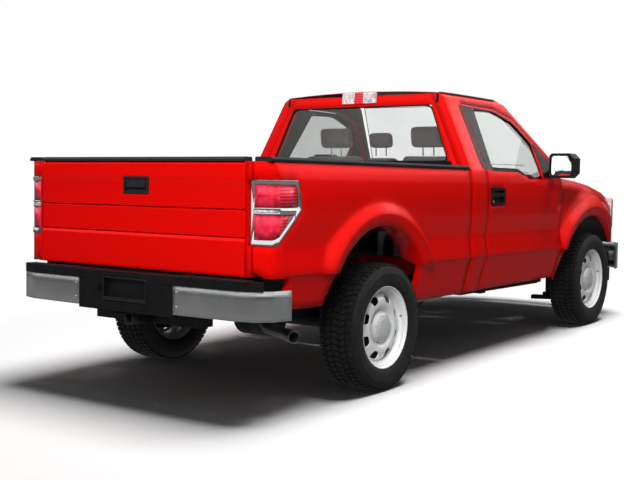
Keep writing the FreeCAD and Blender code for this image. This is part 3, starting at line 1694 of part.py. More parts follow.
pad_half = [
    (S.rear_bumper_face + 8, dim(0)),
    (S.rear_bumper_face - 4, S.rear_bumper_knee_y / 2),
    (S.rear_bumper_face + 10, S.rear_bumper_knee_y),
    (S.rear_bumper_face + 46, S.rear_bumper_knee_y + 108),
    (S.rear_bumper_face + 80, S.rear_bumper_knee_y + 140),
    (S.pad_front, S.rear_bumper_knee_y + 60),
    (S.pad_front, dim(0)),
]
pad_top = prism("pad_top", "plan", both_sides(pad_half), S.rear_bumper_top + S.fit_gap,
                S.rear_bumper_top + S.pad_tall)
pad_centre = block("pad_centre", (S.rear_bumper_face + 2, S.rear_bumper_face + S.pad_centre_deep - S.fit_gap),
                   (-S.pad_centre_half + S.fit_gap, S.pad_centre_half - S.fit_gap),
                   (S.rear_bumper_low - 16, S.rear_bumper_top + 10))
plate_recess = block("plate_recess", (S.rear_bumper_face - 30, S.rear_bumper_face + S.plate_deep),
                     (-S.plate_half, S.plate_half), (S.plate_low, S.plate_top + 4))
ball_bore = rod("ball_bore", "z", (S.rear_bumper_face + S.ball_back, dim(0), S.rear_bumper_top - 30),
                S.ball_hole, 140)
pad_whole = join("pad_whole", pad_top, pad_centre)
subpart("bumper_step_pad", cut("bumper_step_pad", pad_whole, plate_recess, ball_bore))

hitch_half = S.hitch_outer / 2
bore_half = S.hitch_bore / 2
hitch_tube = block("hitch_tube", (S.hitch_face, S.hitch_face + S.hitch_long), (-hitch_half, hitch_half),
                   (S.hitch_z, S.hitch_z + S.hitch_outer))
hitch_arm = block("hitch_arm", (S.hitch_tube_x - hitch_half, S.hitch_tube_x + hitch_half),
                  (hitch_half + S.fit_gap, S.rail_y - S.fit_gap), (S.hitch_z, S.hitch_z + S.hitch_outer))
hitch_bore = block("hitch_bore", (S.hitch_face - 10, S.hitch_face + S.hitch_long - 20),
                   (-bore_half, bore_half),
                   (S.hitch_z + hitch_half - bore_half, S.hitch_z + hitch_half + bore_half))
pin_bore = rod("pin_bore", "y", (S.hitch_face + S.pin_back, -S.hitch_outer, S.hitch_z + hitch_half),
               S.pin_radius, S.hitch_outer * 2)
hitch_ear = block("hitch_ear", (S.hitch_tube_x - hitch_half, S.hitch_tube_x + hitch_half + 60),
                  (S.rail_y - 12, S.rail_y - S.fit_gap), (S.hitch_z, S.rail_end_z + 80))
hitch_side = join("hitch_side", hitch_arm, hitch_ear)
subpart("hitch_receiver", cut("hitch_receiver", hitch_tube, hitch_bore, pin_bore))
subpart("hitch_crossbar", group("hitch_crossbar", hitch_side, mirror("hitch_side_right", hitch_side)))


# Ladder frame

rail_profile = [
    (S.rail_rear, S.rail_end_z),
    (S.kick_end_x, S.kick_low_z),
    (S.kick_top_rear, S.kick_low_z),
    (S.kick_rear_x, S.rail_low_z),
    (S.kick_front_x, S.rail_low_z),
    (S.kick_top_front, S.front_rail_z),
    (S.rail_front, S.front_rail_z),
    (S.rail_front, S.front_rail_z + S.rail_tall - 30),
    (S.kick_top_front - 20, S.front_rail_z + S.rail_tall),
    (S.kick_front_x - 20, S.rail_low_z + S.rail_tall),
    (S.kick_rear_x + 20, S.rail_low_z + S.rail_tall),
    (S.kick_top_rear + 20, S.kick_low_z + S.rail_tall - 20),
    (S.kick_end_x, S.kick_low_z + S.rail_tall - 20),
    (S.rail_rear, S.rail_end_z + S.rail_tall - 30),
]
rail_left = prism("rail_left", "side", rail_profile, S.rail_y, S.rail_y + S.rail_wide)
members = [rail_left, mirror("rail_right", rail_left)]
for member_name, member_x, member_z in (
    ("rear", S.rail_rear + 150, S.rail_end_z + 50),
    ("spring", S.kick_end_x + 150, S.kick_low_z + 60),
    ("bed", S.kick_top_rear, S.kick_low_z + 60),
    ("middle", S.kick_rear_x + 140, S.rail_low_z + 100),
    ("gearbox", S.gearbox_rear + 60, S.gearbox_low - 2 - S.cross_tall),
    ("engine", S.engine_rear - 60, S.front_rail_z - 32),
    ("radiator", S.rail_front - 190, S.front_rail_z + 30),
):
    members.append(block(
        "cross_" + member_name,
        (member_x, member_x + S.cross_wide),
        (-S.rail_y - 5, S.rail_y + 5),
        (member_z, member_z + S.cross_tall),
    ))
for mount_name, mount_x in (("rear", S.cab_rear + 160), ("mid", S.kick_front_x - 160)):
    for mount_side, sign in (("left", 1), ("right", -1)):
        ends = [(S.rail_y + S.rail_wide - 5) * sign, (S.rail_y + S.rail_wide + S.mount_side + 60) * sign]
        if sign < 0:
            ends.reverse()
        members.append(block(
            "cab_mount_" + mount_name + "_" + mount_side,
            (mount_x, mount_x + S.mount_side),
            tuple(ends),
            (S.rail_low_z + S.rail_tall - 15, S.cab_floor_z - S.fit_gap),
        ))
for mount_number in range(2):
    for mount_side, sign in (("left", 1), ("right", -1)):
        ends = [S.rail_y * sign, (S.rail_y + S.rail_wide) * sign]
        if sign < 0:
            ends.reverse()
        mount_x = S.bed_floor_rear + 60 + (1 + mount_number) * 590
        members.append(block(
            "bed_mount_" + str(mount_number) + "_" + mount_side,
            (mount_x, mount_x + S.mount_side),
            tuple(ends),
            (S.kick_low_z + 60, S.bed_floor_z - S.bed_floor_thick - 45 - S.fit_gap),
        ))
for horn_side, sign in (("left", 1), ("right", -1)):
    ends = [(S.rail_y) * sign, (S.rail_y + S.rail_wide) * sign]
    if sign < 0:
        ends.reverse()
    members.append(block(
        "bumper_horn_" + horn_side,
        (S.rail_front - 20, S.front_bumper_face - 120),
        tuple(ends),
        (S.front_bumper_low + 20, S.front_bumper_top - 90),
    ))
subpart("chassis_frame", join("chassis_frame", *members))


# Engine with gearbox, prop shaft, tank, exhaust

engine_profile = [
    (S.engine_rear, S.engine_low + 60),
    (S.engine_rear + 200, S.engine_low + 22),
    (S.engine_front, S.engine_low + 22),
    (S.engine_front, S.engine_top - 60),
    (S.engine_front - 120, S.engine_top),
    (S.engine_rear, S.engine_top),
]
engine_block = prism("engine_block_pad", "side", engine_profile, -S.engine_half, S.engine_half)
gearbox = prism(
    "gearbox",
    "side",
    [
        (S.gearbox_rear, S.gearbox_low),
        (S.engine_rear + 5, S.gearbox_low + 115),
        (S.engine_rear + 5, S.gearbox_top),
        (S.firewall_x + 25, S.gearbox_top),
        (S.toe_x + 10, S.cab_floor_z - 18),
        (S.gearbox_rear, S.cab_floor_z - 30),
    ],
    -S.gearbox_half,
    S.gearbox_half,
)
engine_ears = block("engine_ears", (S.engine_rear + 260, S.engine_rear + 380),
                    (-S.rail_y + S.fit_gap, S.rail_y - S.fit_gap), (S.front_rail_z + 30, S.front_rail_z + 90))
subpart("engine_and_gearbox", join("engine_and_gearbox", engine_block, gearbox, engine_ears))

shaft_length = math.hypot(SIZES["gearbox_rear"] - SIZES["diff_radius"], 90.0) - 2 * SIZES["fit_gap"]
prop_shaft = document.addObject("Part::Cylinder", "prop_shaft")
bind(prop_shaft, "Radius", S.shaft_radius)
prop_shaft.Height = shaft_length
subpart("prop_shaft", prop_shaft, True)

tank_section = [
    (S.tank_inner_y, S.tank_low + 40),
    (S.tank_inner_y + 40, S.tank_low),
    (S.tank_outer_y - 60, S.tank_low),
    (S.tank_outer_y, S.tank_low + 60),
    (S.tank_outer_y, S.tank_top - 20),
    (S.tank_outer_y - 20, S.tank_top),
    (S.rail_y + S.rail_wide + S.fit_gap, S.tank_top),
    (S.rail_y + S.rail_wide + S.fit_gap, S.tank_top - 60),
    (S.tank_inner_y, S.tank_top - 80),
]
subpart("fuel_tank", prism("fuel_tank", "front", tank_section, S.tank_rear, S.tank_front))


def mitred_tube(points, radius, sides):
    """A solid many-sided tube along straight runs, mitred where they meet."""
    spots = [Vector(*point) for point in points]
    path = Part.makePolygon(spots)
    heading = (spots[1] - spots[0]).normalize()
    across = heading.cross(Vector(0, 0, 1)).normalize()
    above = across.cross(heading).normalize()
    turn = [2 * math.pi * side / sides for side in range(sides + 1)]
    loop = Part.makePolygon([
        spots[0] + across * (radius * math.cos(a)) + above * (radius * math.sin(a)) for a in turn
    ])
    return Part.Wire(path.Edges).makePipeShell([loop], True, False, 1)


def eased(points, back):
    """The same line with each corner shared between two gentler ones."""
    spots = [Vector(*point) for point in points]
    line = [spots[0]]
    for before, at, after in zip(spots, spots[1:], spots[2:]):
        line.append(at + (before - at).normalize() * back)
        line.append(at + (after - at).normalize() * back)
    line.append(spots[-1])
    return [(spot.x, spot.y, spot.z) for spot in line]


def exhaust_shape():
    """Pipe from the engine to the muffler, then over the axle and out behind the right wheel."""
    y = SIZES["pipe_y"]
    z = SIZES["pipe_z"]
    radius = SIZES["pipe_radius"]
    sides = int(SIZES["pipe_sides"])
    route = [
        (SIZES["engine_rear"] - 150, y, z),
        (SIZES["kick_rear_x"] - 300, y, z),
        (170, y, z + 155),
        (-330, y, z + 155),
        (-640, y - 250, z + 18),
        (SIZES["tip_x"], SIZES["tip_y"], SIZES["tip_z"]),
    ]
    pipe = mitred_tube(eased(route, 55), radius, sides)
    muffler = mitred_tube(
        [(SIZES["muffler_rear"], y, z), (SIZES["muffler_front"], y, z)],
        SIZES["muffler_radius"],
        int(SIZES["cap_sides"]),
    )
    hanger = Part.makeBox(
        30, 16 + abs(y + SIZES["rail_y"]), 16,
        Vector(SIZES["muffler_front"] + 80, -SIZES["rail_y"] + 0.3, z - 8),
    )
    lug = Part.makeBox(30, 16, 120, Vector(SIZES["muffler_front"] + 80, -SIZES["rail_y"] + 0.3, z - 8))
    tip = Vector(SIZES["tip_x"], SIZES["tip_y"], SIZES["tip_z"])
    before = Vector(-640, y - 250, z + 18)
    heading = (tip - before).normalize()
    inside = tip - heading * 120
    outside = tip + heading * 20
    bore = mitred_tube([tuple(inside), tuple(outside)], radius - SIZES["pipe_wall"], sides)
    return pipe.fuse([muffler, hanger, lug]).cut(bore)


subpart("exhaust", skin("exhaust", exhaust_shape()), True)


# Rear axle and springs

axle_z = S.tyre_radius
rear_reach = S.track / 2 + S.disc_depth - S.disc_thick - S.fit_gap
axle_tube = faceted_rod("axle_tube", "y", (dim(0), -rear_reach + 60, axle_z), S.axle_radius,
                        rear_reach * 2 - 120, SIZES["pipe_sides"])
diff = faceted_rod("diff", "y", (dim(0), -S.diff_half, axle_z), S.diff_radius, S.diff_half * 2,
                   SIZES["cap_sides"])
pinion = faceted_rod("pinion", "x", (dim(0), dim(0), axle_z), S.diff_radius * 0.6, S.diff_radius + 90,
                     SIZES["pipe_sides"])
flange_left = block("flange_left", (-S.axle_flange, S.axle_flange), (rear_reach - 62, rear_reach - 32),
                    (axle_z - S.axle_flange, axle_z + S.axle_flange))
stub_left = faceted_rod("stub_left", "y", (dim(0), rear_reach - 90, axle_z), S.spindle_radius, 99,
                        SIZES["pipe_sides"])
saddle_left = block("saddle_left", (-S.spring_saddle, S.spring_saddle),
                    (S.spring_y - S.spring_wide / 2, S.spring_y + S.spring_wide / 2),
                    (axle_z - S.axle_radius - 12, axle_z + S.axle_radius + 10))
axle = join("rear_axle", axle_tube, diff, pinion, flange_left, mirror("flange_right", flange_left),
            stub_left, mirror("stub_right", stub_left), saddle_left, mirror("saddle_right", saddle_left))
subpart("rear_axle", axle, True)


def spring_shape():
    """Leaf pack bowed down between its eyes, with eyes, shackle and damper."""
    wide = SIZES["spring_wide"]
    y = SIZES["spring_y"] - wide / 2
    thick = SIZES["spring_thick"]
    seat = SIZES["tyre_radius"] + SIZES["axle_radius"] + 10 + SIZES["fit_gap"]
    eye_z = SIZES["spring_eye_z"] + 60
    front = Vector(SIZES["spring_front_x"], y, eye_z)
    rear = Vector(SIZES["spring_rear_x"], y, eye_z)
    steps = int(SIZES["leaf_steps"])
    mid_x = (front.x + rear.x) / 2
    reach = (front.x - rear.x) / 2

    def bowed(foot, tip):
        """Points of a shallow bow from tip height at the rear eye down to foot and up again."""
        shares = [2.0 * step / steps - 1 for step in range(steps + 1)]
        return [Vector(mid_x + reach * share, y, foot + (tip - foot) * share * share) for share in shares]

    low = bowed(seat, eye_z)
    top = bowed(seat + thick, eye_z + 12)
    loop = low + list(reversed(top))
    leaf = Part.Face(Part.makePolygon(loop + [loop[0]])).extrude(Vector(0, wide, 0))
    pieces = [leaf]
    sides = int(SIZES["pipe_sides"])
    eye_radius = SIZES["eye_radius"]
    rail_face = SIZES["rail_y"] + SIZES["rail_wide"] + SIZES["fit_gap"]
    for spot in (front, rear):
        middle = spot + Vector(0, 0, 6)
        turn = [2 * math.pi * side / sides for side in range(sides + 1)]
        loop = [middle + Vector(eye_radius * math.cos(a), 0, eye_radius * math.sin(a)) for a in turn]
        eye = Part.Face(Part.makePolygon(loop)).extrude(Vector(0, wide, 0))
        hanger = Part.makeBox(50, spot.y + wide - rail_face, 110,
                              Vector(middle.x - 25, rail_face, middle.z + 5))
        pieces += [eye, hanger]
    return pieces[0].multiFuse(pieces[1:])


def damper_shape():
    """Damper leaning from the axle up to the frame's outer side."""
    low = Vector(-90, SIZES["spring_y"] + 75, SIZES["tyre_radius"] - 20)
    high = Vector(-250, SIZES["spring_y"] + 20, 700)
    heading = high - low
    tube = mitred_tube([tuple(low), tuple(high)], SIZES["damper_radius"], int(SIZES["pipe_sides"]))
    rail_face = SIZES["rail_y"] + SIZES["rail_wide"] + SIZES["fit_gap"]
    pin = Part.makeBox(40, high.y - rail_face, 40, Vector(high.x - 20, rail_face, high.z - 60))
    near = -SIZES["axle_radius"] - SIZES["fit_gap"]
    foot = Part.makeBox(near - low.x + 10, 40, 34, Vector(low.x - 10, low.y - 40, low.z - 10))
    return tube.multiFuse([pin, foot])


spring_left = skin("spring_left", spring_shape())
damper_left = skin("damper_left", damper_shape())
spring_right = mirror("spring_right", spring_left)
damper_right = mirror("damper_right", damper_left)
subpart("rear_springs", group("rear_springs", spring_left, spring_right, damper_left, damper_right), True)


# Front suspension and knuckles

hub_y = S.track / 2 + S.disc_depth - S.disc_thick
pin_low = axle_z - S.kingpin_half
pin_top = axle_z + S.kingpin_half
pin = rod("knuckle_pin", "z", (S.wheelbase, S.kingpin_y, pin_low), S.knuckle_radius, S.kingpin_half * 2)
spindle = rod("spindle", "y", (S.wheelbase, S.kingpin_y, axle_z), S.spindle_radius,
              hub_y - S.kingpin_y + 9)
carrier = block("carrier", (S.wheelbase - S.axle_flange, S.wheelbase + S.axle_flange),
                (S.kingpin_y - 20, S.kingpin_y + 40), (axle_z - S.axle_flange, axle_z + S.axle_flange))
steer_arm = block("steer_arm", (S.wheelbase - 150, S.wheelbase), (S.kingpin_y - 26, S.kingpin_y + 10),
                  (axle_z - 75, axle_z - 45))
knuckle_left = join("knuckle_left", pin, spindle, carrier, steer_arm)
subpart("knuckle_left", knuckle_left, True)
subpart("knuckle_right", mirror("knuckle_right", knuckle_left), True)


def wishbone(name, z, root_half, tip_half):
    """A-shaped arm from the frame rail out to the knuckle, open in the middle."""
    tip_y = S.kingpin_y + 24
    outline = [
        (S.wheelbase - root_half, S.arm_root_y),
        (S.wheelbase - root_half + 60, S.arm_root_y),
        (S.wheelbase - 62, S.strut_y + 62),
        (S.wheelbase + 62, S.strut_y + 62),
        (S.wheelbase + root_half - 60, S.arm_root_y),
        (S.wheelbase + root_half, S.arm_root_y),
        (S.wheelbase + tip_half, tip_y),
        (S.wheelbase - tip_half, tip_y),
    ]
    return prism(name, "plan", outline, z, z + S.arm_thick)


lower_arm = wishbone("lower_arm", pin_low - S.arm_thick - S.fit_gap, S.arm_root_half, S.arm_tip_half)
upper_arm = wishbone("upper_arm", pin_top + S.fit_gap, S.arm_root_half - 10, S.arm_tip_half)
strut = rod("strut", "z", (S.wheelbase, S.strut_y, pin_low - S.arm_thick - S.fit_gap), S.strut_radius,
            S.strut_top - (pin_low - S.arm_thick - S.fit_gap))
strut_foot = block("strut_foot", (S.wheelbase - 75, S.wheelbase + 75),
                   (S.strut_y - 40, S.strut_y + 100),
                   (pin_low - S.arm_thick - S.fit_gap, pin_low - S.fit_gap))
strut_tower = block("strut_tower", (S.wheelbase - 60, S.wheelbase + 60),
                    (S.rail_y + S.rail_wide + S.fit_gap, S.strut_y + 30),
                    (S.strut_top - 40, S.strut_top))
tower_leg = block("tower_leg", (S.wheelbase - 60, S.wheelbase + 60),
                  (S.rail_y + S.rail_wide + S.fit_gap, S.rail_y + S.rail_wide + 16),
                  (S.front_rail_z + 20, S.strut_top))
front_left = join("front_arms_left", lower_arm, upper_arm, strut, strut_foot, strut_tower, tower_leg)
subpart("front_suspension",
        group("front_suspension", front_left, mirror("front_arms_right", front_left)), True)


# Front fenders, hood, grille, headlamps, bumper

def fender_stations():
    """Outer corners of the left fender at five stations from the door to the headlamp."""
    belt = SIZES["hood_edge_rear"]
    inner = SIZES["hood_half_rear"] + SIZES["panel_gap"] + 3
    low = SIZES["sill_z"] - 10
    sill = SIZES["sill_y"]
    crease = SIZES["crease_y"]
    lip = SIZES["crease_top_y"]
    line = SIZES["line_y"]
    waist = SIZES["waist_y"]
    nose = SIZES["nose_half"]
    crease_z = SIZES["crease_low_z"]
    lip_z = SIZES["crease_top_z"]
    line_z = SIZES["line_z"]
    waist_z = SIZES["waist_z"]
    rear = SIZES["fender_rear"]
    front = SIZES["fender_front"]
    long = front - rear
    return [
        (rear, [
            (sill, low), (crease, crease_z), (lip, lip_z), (line, line_z - 4), (waist, waist_z),
            (waist - 16, waist_z + 92), (inner + 95, belt - 12), (inner + 47, belt)]),
        (rear + long * 0.11, [
            (sill, low), (crease, crease_z - 1), (lip - 1, lip_z - 1), (line, line_z - 5),
            (waist - 1, waist_z - 4), (waist - 17, waist_z + 88), (inner + 93, belt - 15),
            (inner + 45, belt - 2)]),
        (rear + long * 0.283, [
            (sill, low), (crease - 1, crease_z - 2), (lip - 2, lip_z - 2), (line, line_z - 7),
            (waist - 2, waist_z - 15), (waist - 18, waist_z + 72), (inner + 89, belt - 24),
            (inner, belt - 8)]),
        (rear + long * 0.553, [
            (sill - 6, low), (crease - 8, crease_z - 2), (lip - 10, lip_z - 2), (line - 4, line_z - 17),
            (waist - 11, waist_z - 60), (waist - 26, waist_z + 35), (inner + 77, belt - 58),
            (inner - 3, belt - 38)]),
        (rear + long * 0.841, [
            (nose - 30, low), (nose + 25, crease_z - 2), (nose + 30, lip_z - 2),
            (nose + 25, line_z - 27), (nose + 32, waist_z - 120), (nose + 18, waist_z - 32),
            (nose - 22, belt - 118), (inner - 12, belt - 88)]),
        (front, [
            (nose - 60, low), (nose - 15, crease_z - 2), (nose - 10, lip_z - 2),
            (nose - 5, line_z - 37), (nose, waist_z - 180), (nose - 10, waist_z - 88),
            (nose - 42, belt - 172), (inner - 22, belt - 142)]),
    ]


def fender_shape():
    """Front fender as a thick curved sheet from sill to hood line."""
    thick = SIZES["sheet_thick"]
    wires = []
    for x, outer in fender_stations():
        inner = []
        for index, (y, z) in enumerate(outer):
            drop = thick if index > 4 else 0
            push = thick if index < 7 else 0
            inner.append((y - push, z - drop))
        loop = outer + list(reversed(inner))
        spots = [Vector(x, y, z) for y, z in loop]
        wires.append(Part.makePolygon(spots + [spots[0]]))
    return Part.makeLoft(wires, True, True)


flare_taper = prism(
    "flare_taper",
    "plan",
    [
        (S.fender_rear, S.flare_inner_y - 120),
        (S.fender_front, S.flare_inner_y - 120),
        (S.fender_front, S.nose_half + 12),
        (S.fender_front - 170, S.flare_y - 38),
        (S.fender_front - 380, S.flare_y + 1),
        (S.fender_rear, S.flare_y + 1),
    ],
    0,
    2000,
)
front_flare = common("front_flare",
                     flare("front", S.front_arch_x, S.front_arch_z, S.front_arch_radius), flare_taper)
front_hole = rod("front_hole", "y", (S.front_arch_x, S.liner_inner_y - 60, S.front_arch_z),
                 S.front_arch_radius, 700)
fender_low = block("fender_low", (S.fender_front - 260, S.fender_front + 50), (dim(700), S.flare_y + 50),
                   (S.sill_z - 100, S.front_bumper_top + 12))
fender_left = cut("fender_left",
                  join("fender_flared", skin("fender_sheet", fender_shape()), front_flare),
                  front_hole, fender_low)
subpart("front_fenders", group("front_fenders", fender_left, mirror("fender_right", fender_left)))


def hood_shape():
    """Crowned hood panel that narrows and dips towards the grille."""
    rear = SIZES["hood_rear"]
    front = SIZES["hood_front"]
    fall = SIZES["hood_edge_rear"] - SIZES["hood_edge_front"]
    outlines = []
    for share in (0.0, 0.25, 0.5, 0.75, 0.9, 1.0):
        half = SIZES["hood_half_rear"] + (SIZES["hood_half_front"] - SIZES["hood_half_rear"]) * share
        z = SIZES["hood_edge_rear"] - fall * (0.35 * share + 0.65 * share * share)
        outlines.append(crowned(rear + (front - rear) * share, half, z, SIZES["hood_crown"],
                                SIZES["hood_thick"]))
    return ruled_loft(outlines)


def nose_outline(face, back):
    """Plan of the truck's nose, bowed from headlamp to headlamp, from back to face."""
    half = SIZES["hood_half_rear"] + 60
    bow = SIZES["hood_nose_back"]
    face_arc = Part.Arc(Vector(face - bow, half, 0), Vector(face, 0, 0), Vector(face - bow, -half, 0))
    edges = [
        face_arc.toShape(),
        Part.makeLine(Vector(face - bow, -half, 0), Vector(back, -half, 0)),
        Part.makeLine(Vector(back, -half, 0), Vector(back, half, 0)),
        Part.makeLine(Vector(back, half, 0), Vector(face - bow, half, 0)),
    ]
    return Part.Face(Part.Wire(edges)).extrude(Vector(0, 0, 2000))


hood_trim = skin("hood_trim", nose_outline(SIZES["hood_front"], SIZES["hood_rear"] - 50))
hood_panel = common("hood_panel", skin("hood_sheet", hood_shape()), hood_trim)
hood_ear = block("hood_ear", (S.hood_hinge_x - 8, S.hood_hinge_x + 50),
                 (S.hood_ear_y, S.hood_ear_y + 12), (S.hood_hinge_z - 14, S.hood_edge_rear - 6))
hood_eye = rod("hood_eye", "y", (S.hood_hinge_x, S.hood_ear_y - 5, S.hood_hinge_z),
               S.hood_pin + S.fit_gap, 22)
hood_ear_left = cut("hood_ear_left", hood_ear, hood_eye)
hood = join("hood", hood_panel, hood_ear_left, mirror("hood_ear_right", hood_ear_left))
subpart("hood", hood)

frame_edge = S.grille_frame
grille_face = [
    (S.grille_back, -S.grille_half),
    (S.grille_face - 36, -S.grille_half),
    (S.grille_face - 10, -S.grille_half / 2),
    (S.grille_face, dim(0)),
    (S.grille_face - 10, S.grille_half / 2),
    (S.grille_face - 36, S.grille_half),
    (S.grille_back, S.grille_half),
]
grille_slab = prism("grille_slab", "plan", grille_face, S.grille_low, S.grille_top)
bar_count = int(SIZES["grille_bar_count"])
bay_count = bar_count + 1
free = S.grille_top - S.grille_low - frame_edge * 2 - S.grille_bar_tall * bar_count
bay = free / bay_count
bays = []
for bay_number in range(bay_count):
    bay_low = S.grille_low + frame_edge + (bay + S.grille_bar_tall) * bay_number
    bays.append(block("grille_bay_" + str(bay_number), (S.grille_back + 12, S.grille_face + 20),
                      (-S.grille_half + frame_edge, S.grille_half - frame_edge),
                      (bay_low, bay_low + bay)))
grille_screen = block("grille_screen", (S.grille_back, S.grille_back + 12),
                      (-S.grille_half + 2, S.grille_half - 2),
                      (S.grille_low + 2, S.grille_top - 2))
subpart("grille", join("grille", cut("grille_open", grille_slab, *bays), grille_screen))

lamp_front_plan = [
    (S.headlamp_back, S.headlamp_side_y),
    (S.headlamp_back + 110, S.headlamp_side_y - 28),
    (S.headlamp_face_x - 80, S.headlamp_side_y - 100),
    (S.headlamp_face_x - 25, (S.headlamp_side_y + S.grille_half) / 2),
    (S.headlamp_face_x, S.grille_half + 6),
    (S.headlamp_face_x - S.headlamp_deep, S.grille_half + 6),
    (S.headlamp_face_x - S.headlamp_deep - 45, (S.headlamp_side_y + S.grille_half) / 2),
    (S.headlamp_back, S.headlamp_side_y - 100),
]
headlamp_slab = prism("headlamp_slab", "plan", lamp_front_plan, S.headlamp_low, S.headlamp_top)
headlamp_side = prism(
    "headlamp_side",
    "side",
    [
        (S.headlamp_back - 5, S.headlamp_low + 20),
        (S.headlamp_back + 60, S.headlamp_low - 5),
        (S.headlamp_face_x + 10, S.headlamp_low - 5),
        (S.headlamp_face_x + 10, S.headlamp_top - 56),
        (S.headlamp_back - 5, S.headlamp_top),
    ],
    0,
    S.flare_y,
)
headlamp_left = common("headlamp_left", headlamp_slab, headlamp_side)
subpart("headlamps", group("headlamps", headlamp_left, mirror("headlamp_right", headlamp_left)))

face_wall = S.front_bumper_wall
face_half = [
    (S.front_bumper_face, dim(0)),
    (S.front_bumper_face - 16, S.front_bumper_corner_y * 0.4),
    (S.front_bumper_face - 75, S.front_bumper_corner_y * 0.75),
    (S.front_bumper_corner_x + 60, S.front_bumper_corner_y - 35),
    (S.front_bumper_corner_x - 40, S.front_bumper_corner_y + 42),
    (S.front_bumper_end, S.front_bumper_half),
    (S.front_bumper_end, S.front_bumper_half - 14),
    (S.front_bumper_corner_x - 60, S.front_bumper_corner_y + 18),
    (S.front_bumper_corner_x + 28, S.front_bumper_corner_y - 66),
    (S.front_bumper_face - 75 - face_wall, S.front_bumper_corner_y * 0.75 - 20),
    (S.front_bumper_face - 16 - face_wall, S.front_bumper_corner_y * 0.4),
    (S.front_bumper_face - face_wall, dim(0)),
]
front_bumper = prism("face_bar", "plan", both_sides(face_half), S.front_bumper_low,
                     S.front_bumper_top)
bumper_stay = block("bumper_stay", (S.rail_front, S.front_bumper_face - 62),
                    (S.rail_y + S.rail_wide + S.fit_gap, S.rail_y + S.rail_wide + 14),
                    (S.front_bumper_low + 30, S.front_bumper_top - 100))
valance_stay = block("valance_stay", (S.rail_front, S.front_bumper_face - 90),
                     (S.rail_y + 20, S.rail_y + 50),
                     (S.valance_low + 40, S.front_bumper_low + 20 - S.fit_gap))
subpart("front_bumper", join("front_bumper", front_bumper, bumper_stay,
                             mirror("bumper_stay_right", bumper_stay)))

valance_back = S.valance_setback
valance_half = [
    (S.front_bumper_face - valance_back, dim(0)),
    (S.front_bumper_face - valance_back - 20, S.front_bumper_corner_y * 0.4),
    (S.front_bumper_face - valance_back - 90, S.front_bumper_corner_y * 0.75),
    (S.front_bumper_corner_x, S.front_bumper_corner_y - 45),
    (S.front_bumper_corner_x - 30, S.front_bumper_corner_y - 80),
    (S.front_bumper_face - valance_back - 135, S.front_bumper_corner_y * 0.7),
    (S.front_bumper_face - valance_back - 50, S.front_bumper_corner_y * 0.38),
    (S.front_bumper_face - valance_back - 30, dim(0)),
]
subpart("front_valance", join("front_valance",
                              prism("valance_strip", "plan", both_sides(valance_half), S.valance_low,
                                    S.front_bumper_low - S.fit_gap),
                              valance_stay, mirror("valance_stay_right", valance_stay)))

support_plate = block("support_plate", (S.support_x, S.support_x + S.support_thick),
                      (-S.support_half, S.support_half), (S.support_low + 105, S.support_top))
support_hole = block("support_hole", (S.support_x - 10, S.support_x + S.support_thick + 10),
                     (-S.support_half + S.support_frame, S.support_half - S.support_frame),
                     (S.support_low + 105 + S.support_frame, S.support_top - S.support_frame))
radiator = block("radiator", (S.support_x + 8, S.support_x + S.support_thick - 8),
                 (-S.support_half + S.support_frame - 2, S.support_half - S.support_frame + 2),
                 (S.support_low + 105 + S.support_frame - 2, S.support_top - S.support_frame + 2))
ties = []
for tie_name, tie_low in (("top", S.grille_top - 60), ("low", S.grille_low + 10)):
    ties.append(block("tie_" + tie_name, (S.support_x + S.support_thick - 5, S.grille_back - S.fit_gap),
                      (-S.grille_half + 20, S.grille_half - 20), (tie_low, tie_low + 40)))
liner_outer = rod("liner_outer", "y", (S.front_arch_x, S.liner_inner_y, S.front_arch_z),
                  S.front_arch_radius - S.fit_gap, S.liner_outer_y - S.liner_inner_y)
liner_inner = rod("liner_inner", "y", (S.front_arch_x, S.liner_inner_y - 10, S.front_arch_z),
                  S.front_arch_radius - S.fit_gap - S.liner_wall,
                  S.liner_outer_y - S.liner_inner_y + 20)
liner_keep = block("liner_keep", (S.firewall_x + 6, S.support_x + 5), (S.liner_inner_y - 5, S.flare_y),
                   (S.front_bumper_top + 16, S.belt_z))
liner_arc = common("liner_arc", cut("liner_ring", liner_outer, liner_inner), liner_keep)
liner_wall = block("liner_wall", (S.firewall_x + 40, S.support_x + 5),
                   (S.liner_inner_y, S.liner_inner_y + S.liner_wall),
                   (S.front_arch_z + S.front_arch_radius - 170, S.front_arch_z + S.front_arch_radius - 20))
lamp_arm = block("lamp_arm", (S.support_x, S.headlamp_face_x - S.headlamp_deep - 45 - S.fit_gap),
                 (S.support_half - 10, (S.headlamp_side_y + S.grille_half) / 2),
                 (S.headlamp_low + 30, S.headlamp_low + 120))
liner_left = join("liner_left", liner_arc, liner_wall, lamp_arm)
subpart("front_structure", join("front_structure", cut("support_open", support_plate, support_hole),
                                radiator, *ties, liner_left, mirror("liner_right", liner_left)))


# Stance: rake on the springs, then the origin under the middle of the truck

def check(thing):
    """Stop on an object that failed to build."""
    if any(word in thing.State for word in ("Invalid", "Error")):
        raise RuntimeError(thing.Name + " failed: " + str(thing.State))


document.recompute()
for item in document.Objects:
    check(item)

shaft_low = Vector(SIZES["diff_radius"] + 90 + 3, 0, SIZES["tyre_radius"])
rake = FreeCAD.Placement(Vector(), FreeCAD.Rotation(Vector(0, 1, 0), SIZES["rake_angle"]))
shaft_high = rake.multVec(Vector(SIZES["gearbox_rear"] - 3, 0, SIZES["gearbox_low"] + 65))
shaft_run = shaft_high - shaft_low
prop_shaft.Height = shaft_run.Length
prop_shaft.Placement = FreeCAD.Placement(shaft_low, FreeCAD.Rotation(Vector(0, 0, 1), shaft_run))

raked = []
for node, thing in subparts:
    follows_source = thing.TypeId == "Part::Mirroring" and thing.Source in raked
    if node not in level_parts and not follows_source:
        thing.Placement = rake.multiply(thing.Placement)
        raked.append(thing)
document.recompute()

